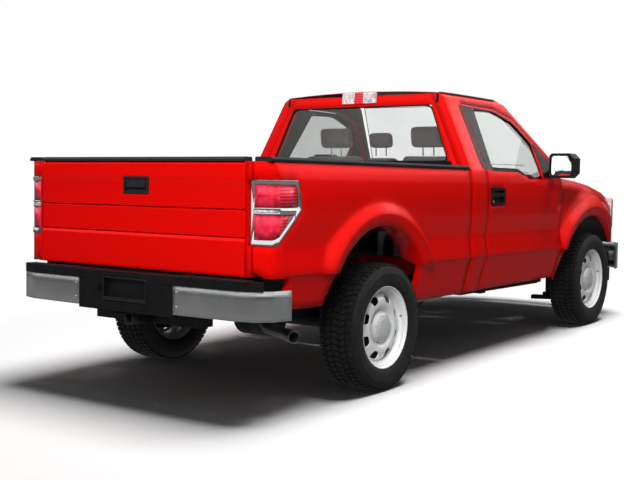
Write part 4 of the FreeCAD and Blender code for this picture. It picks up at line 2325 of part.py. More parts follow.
bounds = FreeCAD.BoundBox()
for node, thing in subparts:
    bounds.add(thing.Shape.BoundBox)
shift = FreeCAD.Placement(
    Vector(-(bounds.XMin + bounds.XMax) / 2, 0, 0), FreeCAD.Rotation()
)
print("origin shift", shift.Base.x, bounds)

os.makedirs("parts", exist_ok=True)
for node, thing in subparts:
    check(thing)
    shape = thing.Shape.copy()
    if shape.isNull() or not shape.isValid():
        raise RuntimeError(node + " has no valid shape")
    shape.Placement = shift.multiply(shape.Placement)
    shape.exportStep(os.path.join("parts", node + ".step"))
print(len(subparts), "sub-parts")
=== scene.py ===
"""Looks of a pickup truck with a regular cab and a short flared bed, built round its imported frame."""

import logging
import math
from contextlib import contextmanager
from dataclasses import dataclass
from enum import Enum
from functools import cache
from typing import Callable, ClassVar, Iterator, Sequence

import bmesh
import bpy
from mathutils import Matrix, Vector


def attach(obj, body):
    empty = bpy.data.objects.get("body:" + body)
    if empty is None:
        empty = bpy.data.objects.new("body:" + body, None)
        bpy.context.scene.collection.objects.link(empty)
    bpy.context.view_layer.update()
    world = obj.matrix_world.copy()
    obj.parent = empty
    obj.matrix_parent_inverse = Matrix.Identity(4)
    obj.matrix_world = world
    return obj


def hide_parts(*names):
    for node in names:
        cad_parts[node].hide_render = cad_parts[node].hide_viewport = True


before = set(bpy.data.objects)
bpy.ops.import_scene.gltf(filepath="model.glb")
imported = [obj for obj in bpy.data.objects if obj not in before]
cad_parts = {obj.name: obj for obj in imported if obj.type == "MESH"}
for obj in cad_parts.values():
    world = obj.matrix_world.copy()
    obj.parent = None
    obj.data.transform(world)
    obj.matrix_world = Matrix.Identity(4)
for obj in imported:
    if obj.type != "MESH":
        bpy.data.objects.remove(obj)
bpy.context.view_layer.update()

log = logging.getLogger("pickup")
Colour = tuple[float, float, float, float]
Pair = tuple[float, float]
Triple = tuple[float, float, float]
Piece = bpy.types.Object
Socket = bpy.types.NodeSocket
Tree = bpy.types.NodeTree

TRUCK = "truck"  # the body that everything without a joint of its own rides on
FULL_TURN = 2 * math.pi
ORIGIN = Vector((0, 0, 0))
REARWARD = Vector((-1, 0, 0))


# Where things stand

@dataclass(frozen=True)
class Stance:
    """How the level drawing of the truck sits in the frame: millimetres in, metres out."""

    rake: float = math.radians(1.5)
    shift: float = -1494.45866

    def body(self, x: float, y: float, z: float) -> Vector:
        """Give the frame point of a point on the body, which leans with the rake."""
        run, rise = math.cos(self.rake), math.sin(self.rake)
        return Vector((x * run + z * rise + self.shift, y, z * run - x * rise)) / 1000

    def road(self, x: float, y: float, z: float) -> Vector:
        """Give the frame point of a point on the running gear, which stays level."""
        return Vector((x + self.shift, y, z)) / 1000


STANCE = Stance()


class Side(Enum):
    """The two sides of the truck, with the sign of y."""

    LEFT = 1
    RIGHT = -1

    @property
    def word(self) -> str:
        """Give the side's name as the frame writes it."""
        return self.name.lower()

    @property
    def inward(self) -> Triple:
        """Give the way from this side to the truck's middle."""
        return 0.0, float(-self.value), 0.0


# Small tools for materials

def linear(code: str) -> Colour:
    """Turn an sRGB hex code, with its hash sign, into a linear colour with full alpha."""
    parts = [int(code[start:start + 2], 16) / 255 for start in (1, 3, 5)]
    bent = [part / 12.92 if part <= 0.04045 else ((part + 0.055) / 1.055) ** 2.4 for part in parts]
    return bent[0], bent[1], bent[2], 1.0


def add_node(tree: Tree, kind: str, inputs: dict | None = None, **settings: object) -> bpy.types.Node:
    """Add one node with its settings, values and links.

    Args:
        tree: the tree that gets the node.
        kind: Blender's name of the node type.
        inputs: a value or a socket for each input, by name or number.
        settings: properties of the node itself.

    Returns:
        The new node.
    """
    made = tree.nodes.new(kind)
    for name, value in settings.items():
        setattr(made, name, value)
    for key, value in (inputs or {}).items():
        if isinstance(value, Socket):
            tree.links.new(value, made.inputs[key])
        else:
            made.inputs[key].default_value = value
    return made


def emptied(holder: bpy.types.Material | bpy.types.World) -> Tree:
    """Give the node tree of a new material or world, with nothing in it."""
    holder.use_nodes = True
    holder.node_tree.nodes.clear()
    return holder.node_tree


def per_metre(size_mm: float) -> float:
    """Give a pattern's scale, in repeats a metre, from its real size."""
    return 1000.0 / size_mm


def wave_scale(repeats: float) -> float:
    """Give the wave texture's scale for a number of repeats in one unit of its coordinate."""
    return repeats * math.pi / 10


@dataclass(frozen=True)
class Grain:
    """Noise of a real size, eased between its value in dark grains and that in bright ones.

    Detail is the number of finer layers, and stretch says how much finer it is along each axis.
    """

    size_mm: float
    low: float = 0.0
    high: float = 1.0
    detail: float = 2.0
    stretch: Triple = (1.0, 1.0, 1.0)
    spread: ClassVar[Pair] = (0.3, 0.7)  # what nearly all of the raw noise lies between

    def draw(self, tree: Tree, rise: float = 0.0) -> Socket:
        """Draw the pattern.

        Args:
            tree: the tree that gets it.
            rise: what is added to both of its values.

        Returns:
            The socket with the eased pattern.
        """
        place = add_node(tree, "ShaderNodeTexCoord").outputs["Object"]
        fitted = add_node(tree, "ShaderNodeMapping", {"Vector": place, "Scale": self.stretch})
        noise = add_node(tree, "ShaderNodeTexNoise", {
            "Vector": fitted.outputs[0], "Scale": per_metre(self.size_mm), "Detail": self.detail})
        return add_node(tree, "ShaderNodeMapRange", {
            "Value": noise.outputs[0], "From Min": self.spread[0], "From Max": self.spread[1],
            "To Min": self.low + rise, "To Max": self.high + rise}).outputs[0]


@dataclass(frozen=True)
class Finish:
    """A surface made in a known way: two tones in a pattern, an uneven gloss and a relief.

    Each kind says what its patterns are, and draws only those that aren't plain noise.

    Attributes:
        tone: the first tone, as a hex code.
        other: the second tone, or nothing where it follows from the first by the drift.
        rough: what is added to the roughness of the gloss pattern.
        round_mm: the radius over which light sees the surface's edges rounded.
    """

    title: ClassVar[str]
    patches: ClassVar[Grain]
    gloss: ClassVar[Grain | None] = None
    skin: ClassVar[Grain | None] = None
    relief: ClassVar[Pair] = (0.0, 0.0)  # its height in millimetres and how much of it shows
    drift: ClassVar[Pair] = (1.0, 0.0)  # factor and lift from the first tone to the second
    constants: ClassVar[dict[str, float]] = {}

    tone: str = ""
    other: str = ""
    rough: float = 0.0
    round_mm: float = 0.0

    def share(self, tree: Tree) -> Socket:
        """Draw how much of the second tone shows, from 0 to 1, in the material's tree."""
        return self.patches.draw(tree)

    def colour(self, tree: Tree, share: Socket) -> Socket:
        """Blend the two tones.

        Args:
            tree: the material's tree.
            share: how much of the second tone shows.

        Returns:
            The socket with the colour.
        """
        first, (factor, lift) = linear(self.tone), self.drift
        drifted = tuple(min(1.0, part * factor + lift) for part in first[:3]) + (1.0,)
        second = linear(self.other) if self.other else drifted
        return add_node(tree, "ShaderNodeMix", {0: share, 6: first, 7: second},
                        data_type="RGBA").outputs[2]

    def height(self, tree: Tree, share: Socket) -> Socket | None:
        """Draw what stands out of the surface.

        Args:
            tree: the material's tree.
            share: the pattern of the tones, for finishes whose relief follows it.

        Returns:
            The socket with the height, from 0 to 1, or none for a smooth surface.
        """
        return self.skin.draw(tree) if self.skin is not None else None

    @cache
    def material(self) -> bpy.types.Material:
        """Build the material, once for all finishes that are equal.

        Returns:
            The material of this finish.
        """
        made = bpy.data.materials.new(f"{self.title}_{self.tone[1:]}")
        tree = emptied(made)
        share = self.share(tree)
        inputs = {**self.constants, "Base Color": self.colour(tree, share)}
        if self.gloss is not None:
            inputs["Roughness"] = self.gloss.draw(tree, self.rough)
        height = self.height(tree, share)
        if height is not None:
            bump = {"Height": height, "Distance": self.relief[0] / 1000, "Strength": self.relief[1]}
            if self.round_mm:
                bump["Normal"] = add_node(tree, "ShaderNodeBevel", {"Radius": self.round_mm / 1000},
                                          samples=6).outputs[0]
            inputs["Normal"] = add_node(tree, "ShaderNodeBump", bump).outputs[0]
        shader = add_node(tree, "ShaderNodeBsdfPrincipled", inputs)
        add_node(tree, "ShaderNodeOutputMaterial", {"Surface": shader.outputs[0]})
        return made


# Finishes

@dataclass(frozen=True)
class CoatedPaint(Finish):
    """Red clear-coated paint over pressed steel: deep colour, wet highlights, faint flake."""

    title = "red_clear_coat_on_steel"
    # Mica flake is 0.1 mm and is drawn as 3 mm grains, the finest that show.
    patches = Grain(3.0, 0.0, 0.35, 1.0)
    gloss = Grain(400.0, 0.19, 0.22)
    # The slight orange peel of a sprayed coat, waves of about 12 mm.
    skin = Grain(12.0, detail=1.0)
    relief = (0.01, 0.12)
    constants = {"Metallic": 0.22, "Specular IOR Level": 0.04, "Coat Weight": 0.15,
                 "Coat Roughness": 0.06}
    tone: str = "#E60A06"
    other: str = "#C80604"
    round_mm: float = 80.0


@dataclass(frozen=True)
class HousingPaint(CoatedPaint):
    """Red paint on the bed side of a wheel housing and matt black stone guard on its wheel side."""

    title = "red_coat_with_stone_guard"
    constants = {**CoatedPaint.constants, "Coat Weight": 0.4}
    guard: ClassVar[str] = "#0C0C0D"
    least_facing: ClassVar[float] = 0.02
    centre: Triple = (0.0, 0.0, 0.0)

    def colour(self, tree: Tree, share: Socket) -> Socket:
        """Paint by which way the surface faces, towards the wheel or away from it."""
        spot = add_node(tree, "ShaderNodeTexCoord").outputs
        away = add_node(tree, "ShaderNodeVectorMath", {0: spot["Object"], 1: self.centre},
                        operation="SUBTRACT")
        flat = add_node(tree, "ShaderNodeVectorMath", {0: away.outputs[0], 1: (1.0, 0.0, 1.0)},
                        operation="MULTIPLY")
        facing = add_node(tree, "ShaderNodeVectorMath", {0: flat.outputs[0], 1: spot["Normal"]},
                          operation="DOT_PRODUCT")
        inner = add_node(tree, "ShaderNodeMath", {0: facing.outputs["Value"], 1: self.least_facing},
                         operation="LESS_THAN")
        return add_node(tree, "ShaderNodeMix", {
            0: inner.outputs[0], 6: super().colour(tree, share), 7: linear(self.guard)},
            data_type="RGBA").outputs[2]


@dataclass(frozen=True)
class LinedOrShadedPaint(CoatedPaint):
    """Red paint outside, and on the low faces that look inwards matt trim, underseal or, on the
    bedsides, black painted shade.
    """

    title = "red_coat_with_lining"
    least_facing: ClassVar[float] = 0.25
    inward: Triple = (0.0, 0.0, -1.0)
    lining: str = "#4A4845"
    below: float = 9.0

    def colour(self, tree: Tree, share: Socket) -> Socket:
        """Change from paint to trim, underseal or painted shade by which way the surface faces and how
        high it is.
        """
        spot = add_node(tree, "ShaderNodeTexCoord").outputs
        facing = add_node(tree, "ShaderNodeVectorMath", {0: spot["Normal"], 1: self.inward},
                          operation="DOT_PRODUCT")
        inside = add_node(tree, "ShaderNodeMath", {0: facing.outputs["Value"], 1: self.least_facing},
                          operation="GREATER_THAN")
        split = add_node(tree, "ShaderNodeSeparateXYZ", {"Vector": spot["Object"]})
        low = add_node(tree, "ShaderNodeMath", {0: split.outputs["Z"], 1: self.below},
                       operation="LESS_THAN")
        lined_or_shaded = add_node(tree, "ShaderNodeMath", {0: inside.outputs[0], 1: low.outputs[0]},
                         operation="MULTIPLY")
        return add_node(tree, "ShaderNodeMix", {
            0: lined_or_shaded.outputs[0], 6: super().colour(tree, share), 7: linear(self.lining)},
            data_type="RGBA").outputs[2]


@dataclass(frozen=True)
class WaxedSteel(Finish):
    """Black dip paint and wax on a pressed frame: nearly black, uneven low sheen, road film."""

    title = "black_waxed_steel"
    patches = Grain(120.0, 0.0, 0.7, 5.0)
    gloss = Grain(60.0, -0.1, 0.15, 3.0)
    skin = Grain(9.0, detail=3.0)
    relief = (0.3, 0.3)
    tone: str = "#101011"
    other: str = "#262523"
    rough: float = 0.5


@dataclass(frozen=True)
class CastIron(WaxedSteel):
    """Sand-cast iron under thin black paint: coarse skin and a matt face."""

    title = "sand_cast_iron"
    tone: str = "#17171A"
    other: str = "#2C2826"
    rough: float = 0.66


@dataclass(frozen=True)
class PlatedChrome(Finish):
    """Chrome plate on pressed steel or plastic: a clean mirror with a hint of drifting haze."""

    title = "chrome_plate"
    patches = Grain(250.0, detail=3.0)
    gloss = Grain(180.0, 0.0, 0.05, 3.0)
    # Pressed steel is never quite flat: ripples of about 60 mm, and bends that turn softly.
    skin = Grain(60.0, detail=1.0)
    relief = (0.15, 0.2)
    constants = {"Metallic": 1.0}
    tone: str = "#F0F1F2"
    other: str = "#DFE1E3"
    rough: float = 0.06
    round_mm: float = 4.0


@dataclass(frozen=True)
class SafetyGlass(Finish):
    """Tempered or laminated glass: clear and mirror smooth, with its own tint in faint streaks."""

    title = "safety_glass"
    patches = Grain(300.0, detail=1.0)
    drift = (0.94, 0.0)
    constants = {"Transmission Weight": 1.0, "IOR": 1.5, "Roughness": 0.0}


@dataclass(frozen=True)
class MouldedPlastic(Finish):
    """Injection-moulded polypropylene: even colour, fine leather grain, soft broad highlight."""

    title = "moulded_polypropylene"
    patches = Grain(70.0, 0.0, 0.6, 4.0)
    gloss = Grain(40.0, -0.05, 0.08, 3.0)
    relief = (0.12, 0.35)
    drift = (1.35, 0.004)
    constants = {"IOR": 1.49, "Specular IOR Level": 0.22}
    # Mould grain is under 1 mm and is drawn at 2.5 mm so that it breaks the highlight.
    grain_mm: ClassVar[float] = 2.5
    tone: str = "#161617"
    rough: float = 0.52

    def height(self, tree: Tree, share: Socket) -> Socket:
        """Set the grain as pits between small cells."""
        place = add_node(tree, "ShaderNodeTexCoord").outputs["Object"]
        return add_node(tree, "ShaderNodeTexVoronoi", {
            "Vector": place, "Scale": per_metre(self.grain_mm)},
            feature="DISTANCE_TO_EDGE").outputs["Distance"]


@dataclass(frozen=True)
class GlossBlack(Finish):
    """Black acrylic trim: a hard wet gloss with faint wiping marks over a body with no colour."""

    title = "gloss_black_acrylic"
    patches = Grain(90.0)
    gloss = Grain(55.0, 0.24, 0.34, 3.0)
    constants = {"Specular IOR Level": 0.12, "Coat Weight": 0.1, "Coat Roughness": 0.1}
    tone: str = "#070708"
    other: str = "#0E0E10"


@dataclass(frozen=True)
class TyreRubber(Finish):
    """Vulcanised rubber: charcoal, dull, with ribs moulded round the side wall."""

    title = "vulcanised_rubber"
    patches = Grain(30.0, 0.0, 0.8, 5.0)
    gloss = Grain(22.0, 0.58, 0.78, 3.0)
    relief = (0.35, 0.3)
    # Mould ribs round the side wall: 240 to a turn, about 9 mm apart at mid wall.
    ribs_a_turn: ClassVar[int] = 240
    tone: str = "#0B0B0B"
    other: str = "#191918"

    def height(self, tree: Tree, share: Socket) -> Socket:
        """Draw fine ribs from the piece's own map of the side wall."""
        around = add_node(tree, "ShaderNodeUVMap", uv_map="wall")
        return add_node(tree, "ShaderNodeTexWave", {
            "Vector": around.outputs[0], "Scale": wave_scale(self.ribs_a_turn), "Distortion": 0.0},
            wave_type="BANDS", bands_direction="X").outputs["Fac"]


@dataclass(frozen=True)
class WheelEnamel(Finish):
    """Silver stoving enamel on a pressed steel wheel: pale grey, smooth, slightly metallic."""

    title = "silver_stoving_enamel"
    patches = Grain(1.6, 0.0, 0.5, 1.0)
    gloss = Grain(45.0, 0.30, 0.42, 3.0)
    skin = Grain(6.0)
    relief = (0.02, 0.3)
    constants = {"Metallic": 0.15, "Coat Weight": 0.3, "Coat Roughness": 0.2}
    tone: str = "#EDEEEF"
    other: str = "#CBCDCF"


@dataclass(frozen=True)
class CastAluminium(Finish):
    """Die-cast aluminium: grey, granular and half matt, with oily patches."""

    title = "die_cast_aluminium"
    patches = Grain(110.0, 0.0, 0.8, 5.0)
    gloss = Grain(25.0, 0.45, 0.7, 4.0)
    skin = Grain(4.0, detail=3.0)
    relief = (0.3, 0.4)
    constants = {"Metallic": 0.8}
    tone: str = "#77797B"
    other: str = "#3E3D3A"


@dataclass(frozen=True)
class PipeSteel(Finish):
    """Aluminised exhaust steel: dull silver, drawn lengthwise, browned by heat in patches."""

    title = "aluminised_pipe_steel"
    patches = Grain(160.0, 0.0, 0.9, 4.0)
    gloss = Grain(5.0, 0.32, 0.5, stretch=(0.1, 1.0, 1.0))
    skin = Grain(2.5, stretch=(0.1, 1.0, 1.0))
    relief = (0.05, 0.3)
    constants = {"Metallic": 0.9}
    tone: str = "#8C8B8A"
    other: str = "#564E48"


@dataclass(frozen=True)
class SeatCloth(Finish):
    """Woven seat cloth over foam: warm grey, crossed threads, soft edge light."""

    title = "woven_seat_cloth"
    gloss = Grain(35.0, 0.82, 0.95, 3.0)
    relief = (0.5, 0.5)
    constants = {"Sheen Weight": 0.3, "Sheen Roughness": 0.5}
    # Threads lie 0.8 mm apart and are drawn 4 mm apart, the closest that show here.
    thread_mm: ClassVar[float] = 4.0
    tone: str = "#4A4845"
    other: str = "#6A6763"

    def share(self, tree: Tree) -> Socket:
        """Weave two sets of threads across each other."""
        place = add_node(tree, "ShaderNodeTexCoord").outputs["Object"]
        threads = [add_node(tree, "ShaderNodeTexWave", {
            "Vector": place, "Scale": wave_scale(per_metre(self.thread_mm)), "Distortion": 0.4},
            wave_type="BANDS", bands_direction=way).outputs["Fac"] for way in ("Y", "Z")]
        return add_node(tree, "ShaderNodeMath", dict(enumerate(threads)),
                        operation="MULTIPLY").outputs[0]

    def height(self, tree: Tree, share: Socket) -> Socket:
        """Let the threads stand out where they are pale."""
        return share


@dataclass(frozen=True)
class FloorCarpet(Finish):
    """Cut-pile carpet on a cab floor, with black underseal on the faces that point down."""

    title = "cut_pile_carpet"
    patches = Grain(4.0, detail=3.0)
    gloss = Grain(20.0, 0.85, 0.98, 3.0)
    skin = Grain(3.0, detail=3.0)
    relief = (1.5, 0.6)
    underseal: ClassVar[str] = "#0D0D0E"
    least_rise: ClassVar[float] = 0.1
    tone: str = "#1B1B1C"
    other: str = "#333332"

    def colour(self, tree: Tree, share: Socket) -> Socket:
        """Lay pile on upward faces and underseal on the rest."""
        spot = add_node(tree, "ShaderNodeTexCoord").outputs
        split = add_node(tree, "ShaderNodeSeparateXYZ", {"Vector": spot["Normal"]})
        upward = add_node(tree, "ShaderNodeMath", {0: split.outputs["Z"], 1: self.least_rise},
                          operation="GREATER_THAN")
        return add_node(tree, "ShaderNodeMix", {
            0: upward.outputs[0], 6: linear(self.underseal), 7: super().colour(tree, share)},
            data_type="RGBA").outputs[2]


@dataclass(frozen=True)
class LampLens(Finish):
    """Dyed acrylic lens over a faceted reflector, whose facets and ribs are painted into its colour as
    painted highlights and painted shade.
    """

    title = "dyed_acrylic_lens"
    relief = (3.0, 0.25)
    constants = {"Roughness": 0.12, "IOR": 1.49, "Specular IOR Level": 0.3, "Coat Weight": 0.5,
                 "Coat Roughness": 0.02}
    rib_mm: ClassVar[float] = 17.0
    facet_spread: ClassVar[Pair] = (0.1, 0.75)
    tone: str = "#F42A4A"
    other: str = "#A01026"
    facet_mm: float = 34.0
    ribs_from: float = -2.50

    def share(self, tree: Tree) -> Socket:
        """Draw the reflector's cells inboard and its ribs outboard, as painted highlight and shade."""
        place = add_node(tree, "ShaderNodeTexCoord").outputs["Object"]
        cells = add_node(tree, "ShaderNodeTexVoronoi", {
            "Vector": place, "Scale": per_metre(self.facet_mm), "Randomness": 0.8},
            feature="SMOOTH_F1")
        ribs = add_node(tree, "ShaderNodeTexWave", {
            "Vector": place, "Scale": wave_scale(per_metre(self.rib_mm)), "Distortion": 0.0},
            wave_type="BANDS", bands_direction="Z")
        split = add_node(tree, "ShaderNodeSeparateXYZ", {"Vector": place})
        outboard = add_node(tree, "ShaderNodeMath", {0: split.outputs["X"], 1: self.ribs_from},
                            operation="GREATER_THAN")
        facets = add_node(tree, "ShaderNodeMapRange", {
            "Value": cells.outputs["Distance"], "From Min": self.facet_spread[0],
            "From Max": self.facet_spread[1]})
        return add_node(tree, "ShaderNodeMix", {
            0: outboard.outputs[0], 2: facets.outputs[0], 3: ribs.outputs["Fac"]},
            data_type="FLOAT").outputs[0]

    def height(self, tree: Tree, share: Socket) -> Socket:
        """Let the facets stand out as they darken."""
        return share


@dataclass(frozen=True)
class HighLampLens(LampLens):
    """The high stop lamp's lens: clear acrylic ends round a red middle with painted facet highlights
    and shade.
    """

    title = "two_colour_acrylic_lens"
    half_red: ClassVar[float] = 0.038
    clear: ClassVar[Grain] = Grain(22.0)

    def colour(self, tree: Tree, share: Socket) -> Socket:
        """Keep red within the middle and make the ends clear."""
        place = add_node(tree, "ShaderNodeTexCoord").outputs["Object"]
        split = add_node(tree, "ShaderNodeSeparateXYZ", {"Vector": place})
        reach = add_node(tree, "ShaderNodeMath", {0: split.outputs["Y"]}, operation="ABSOLUTE")
        ends = add_node(tree, "ShaderNodeMath", {0: reach.outputs[0], 1: self.half_red},
                        operation="GREATER_THAN")
        clear = add_node(tree, "ShaderNodeMix", {
            0: self.clear.draw(tree), 6: linear("#E8E9EA"), 7: linear("#9DA0A3")},
            data_type="RGBA")
        return add_node(tree, "ShaderNodeMix", {
            0: ends.outputs[0], 6: super().colour(tree, share), 7: clear.outputs[2]},
            data_type="RGBA").outputs[2]


@dataclass(frozen=True)
class MirrorSilver(Finish):
    """Silvered mirror glass: a plain bright reflection with a cool cast and a film of dust."""

    title = "silvered_mirror_glass"
    patches = Grain(60.0)
    gloss = Grain(80.0, 0.01, 0.04)
    constants = {"Metallic": 1.0}
    tone: str = "#DDE2E6"
    other: str = "#CBD1D6"


# Small tools for shapes

MERGE = 2e-5  # metres within which corners become one
CREASE = 32.0  # degrees above which an edge stays sharp


def make_object(name: str, data: bpy.types.ID) -> Piece:
    """Put a mesh, a curve, a lamp or a camera in the scene as an object at the origin."""
    made = bpy.data.objects.new(name, data)
    bpy.context.scene.collection.objects.link(made)
    return made


@contextmanager
def opened(mesh: bpy.types.Mesh) -> Iterator[bmesh.types.BMesh]:
    """Open a mesh for editing and write it back afterwards."""
    shape = bmesh.new()
    shape.from_mesh(mesh)
    yield shape
    shape.to_mesh(mesh)
    shape.free()


def shade(mesh: bpy.types.Mesh, crease: float) -> None:
    """Shade a mesh smooth up to a crease angle in degrees."""
    mesh.shade_smooth()
    mesh.set_sharp_from_angle(angle=math.radians(crease))


def tidy(mesh: bpy.types.Mesh, crease: float = CREASE) -> None:
    """Merge doubles, turn faces outwards and shade a mesh smooth up to a crease in degrees."""
    with opened(mesh) as shape:
        bmesh.ops.remove_doubles(shape, verts=shape.verts, dist=MERGE)
        bmesh.ops.recalc_face_normals(shape, faces=shape.faces)
    shade(mesh, crease)


def from_points(name: str, points: Sequence[Vector], faces: Sequence[Sequence[int]],
                crease: float = CREASE) -> Piece:
    """Make a piece of points and faces, facing outwards and shaded smooth up to a crease.

    Args:
        name: the piece's name.
        points: its corners, in metres.
        faces: the corner numbers of each face.
        crease: the angle in degrees above which an edge stays sharp.

    Returns:
        The new object.
    """
    mesh = bpy.data.meshes.new(name)
    mesh.from_pydata([tuple(point) for point in points], [], [tuple(face) for face in faces])
    tidy(mesh, crease)
    return make_object(name, mesh)


def extruded(name: str, outline: Sequence[Vector], along: Vector) -> Piece:
    """Extrude a flat outline into a closed piece.

    Args:
        name: the piece's name.
        outline: its corners in order, in metres.
        along: how far and which way it goes.

    Returns:
        The new object.
    """
    count = len(outline)
    points = [Vector(corner) for corner in outline]
    points += [corner + along for corner in points]
    faces: list[list[int]] = [list(range(count)), list(range(2 * count - 1, count - 1, -1))]
    faces += [[step, (step + 1) % count, count + (step + 1) % count, count + step]
              for step in range(count)]
    return from_points(name, points, faces)


def box_piece(name: str, low: Triple, high: Triple, round_mm: float) -> Piece:
    """Make a rounded box on the body.

    Args:
        name: the piece's name.
        low: its lowest corner, in body millimetres.
        high: its highest corner.
        round_mm: the radius of its edges.

    Returns:
        The new object.
    """
    base = [STANCE.body(x, y, low[2]) for x, y in
            ((low[0], low[1]), (high[0], low[1]), (high[0], high[1]), (low[0], high[1]))]
    lift = STANCE.body(low[0], low[1], high[2]) - base[0]
    return soften(extruded(name, base, lift), round_mm)


def soften(piece: Piece, radius_mm: float, steps: int = 3, angle: float = 30.0) -> Piece:
    """Round a piece's sharp edges for good.

    Args:
        piece: the piece to round.
        radius_mm: the radius of the rounding.
        steps: how many strips the rounding has.
        angle: edges sharper than this are rounded, in degrees.

    Returns:
        The same object with its new mesh.
    """
    bevel = piece.modifiers.new("soften", "BEVEL")
    bevel.width = radius_mm / 1000
    bevel.segments = steps
    bevel.limit_method = "ANGLE"
    bevel.angle_limit = math.radians(angle)
    return baked(piece)


def baked(piece: Piece) -> Piece:
    """Turn a piece's live modifiers into plain mesh and drop them.

    Args:
        piece: the piece to settle.

    Returns:
        The same object without modifiers, or a new one where a curve became a mesh.
    """
    depsgraph = bpy.context.evaluated_depsgraph_get()
    settled = bpy.data.meshes.new_from_object(piece.evaluated_get(depsgraph), depsgraph=depsgraph)
    piece.modifiers.clear()
    if piece.type == "MESH":
        piece.data = settled
        return piece
    made = make_object(piece.name + "_solid", settled)
    bpy.data.objects.remove(piece)
    return made


def carved(piece: Piece, cutters: Sequence[Piece], how: str = "DIFFERENCE") -> Piece:
    """Cut a piece with other pieces, or keep what they share, and throw the cutters away.

    Args:
        piece: the piece to work on.
        cutters: the tools.
        how: the kind of cut, DIFFERENCE or INTERSECT.

    Returns:
        The same object with its new mesh.
    """
    for cutter in cutters:
        step = piece.modifiers.new("carve", "BOOLEAN")
        step.operation = how
        step.solver = "EXACT"
        step.object = cutter
    baked(piece)
    for cutter in cutters:
        bpy.data.objects.remove(cutter)
    return piece


def joined(name: str, pieces: Sequence[Piece]) -> Piece:
    """Gather the meshes of several pieces in one.

    Args:
        name: the name of the whole.
        pieces: the parts, which are used up.

    Returns:
        The new object.
    """
    shape = bmesh.new()
    for piece in pieces:
        shape.from_mesh(piece.data)
    mesh = bpy.data.meshes.new(name)
    shape.to_mesh(mesh)
    shape.free()
    for piece in pieces:
        bpy.data.objects.remove(piece)
    return make_object(name, mesh)


def turned(name: str, profile: Sequence[Pair], centre: Vector, side: float, sides: int = 96,
           crease: float = 28.0) -> Piece:
    """Turn a closed profile about a wheel's axle line and map it by turn and radius.

    Args:
        name: the piece's name.
        profile: radius and reach outwards from the wheel's middle, in millimetres.
        centre: the wheel's centre.
        side: 1 for a left wheel and -1 for a right one.
        sides: how many strips make a full turn.
        crease: the angle in degrees above which an edge stays sharp.

    Returns:
        The new object.
    """
    points, faces, rows, map_mm = [], [], len(profile), 400
    for step in range(sides):
        angle = FULL_TURN * step / sides
        for radius, reach in profile:
            points.append(centre + Vector((radius * math.cos(angle), reach * side,
                                           radius * math.sin(angle))) / 1000)
    for step in range(sides):
        here, there = step * rows, (step + 1) % sides * rows
        for row in range(rows):
            after = (row + 1) % rows
            faces.append((here + row, here + after, there + after, there + row))
    made = from_points(name, points, faces, crease)
    chart = made.data.uv_layers.new(name="wall")
    for loop in made.data.loops:
        spot = (made.data.vertices[loop.vertex_index].co - centre) * 1000
        chart.data[loop.index].uv = (math.atan2(spot.z, spot.x) / FULL_TURN % 1.0,
                                     math.hypot(spot.x, spot.z) / map_mm)
    for face in made.data.polygons:
        turns = [chart.data[corner].uv[0] for corner in face.loop_indices]
        if max(turns) - min(turns) > 0.5:
            for corner in face.loop_indices:
                if chart.data[corner].uv[0] < 0.5:
                    chart.data[corner].uv[0] += 1.0
    return made


def domed(name: str, foot: Vector, out: Vector, size: float, tall: float, sides: int = 8) -> Piece:
    """Draw a small domed stud, such as a bolt head, a lock or a plug.

    Args:
        name: the piece's name.
        foot: the middle of its foot, in metres.
        out: the way it points.
        size: half its width, in millimetres.
        tall: its height, in millimetres.
        sides: how many sides it has.

    Returns:
        The new object.
    """
    rise_way = out.normalized()
    across = rise_way.orthogonal().normalized()
    along = rise_way.cross(across)
    points = [foot + rise_way * tall / 1000]
    for share, rise in ((1.0, 0.0), (0.95, 0.55), (0.6, 0.9)):
        for step in range(sides):
            turn = FULL_TURN * step / sides
            points.append(foot + (across * math.cos(turn) + along * math.sin(turn))
                          * size * share / 1000 + rise_way * tall * rise / 1000)
    last = 1 + 2 * sides
    faces = [(low + step, low + (step + 1) % sides, low + sides + (step + 1) % sides,
              low + sides + step) for low in (1, 1 + sides) for step in range(sides)]
    faces += [(last + step, last + (step + 1) % sides, 0) for step in range(sides)]
    faces.append(tuple(range(sides, 0, -1)))
    return from_points(name, points, faces)


def merged_copy(node: str, name: str) -> Piece:
    """Copy a frame node's mesh, merge its loose triangles and shade it smooth.

    Args:
        node: the node of the frame.
        name: the copy's name.

    Returns:
        The copy, as an object of its own.
    """
    with opened(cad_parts[node].data.copy()) as shape:
        bmesh.ops.remove_doubles(shape, verts=shape.verts, dist=MERGE)
        points = [tuple(vert.co) for vert in shape.verts]
        faces = [[vert.index for vert in face.verts] for face in shape.faces]
    mesh = bpy.data.meshes.new(name)
    mesh.from_pydata(points, [], faces)
    shade(mesh, 30)
    return make_object(name, mesh)


# Rules that repeat a shape

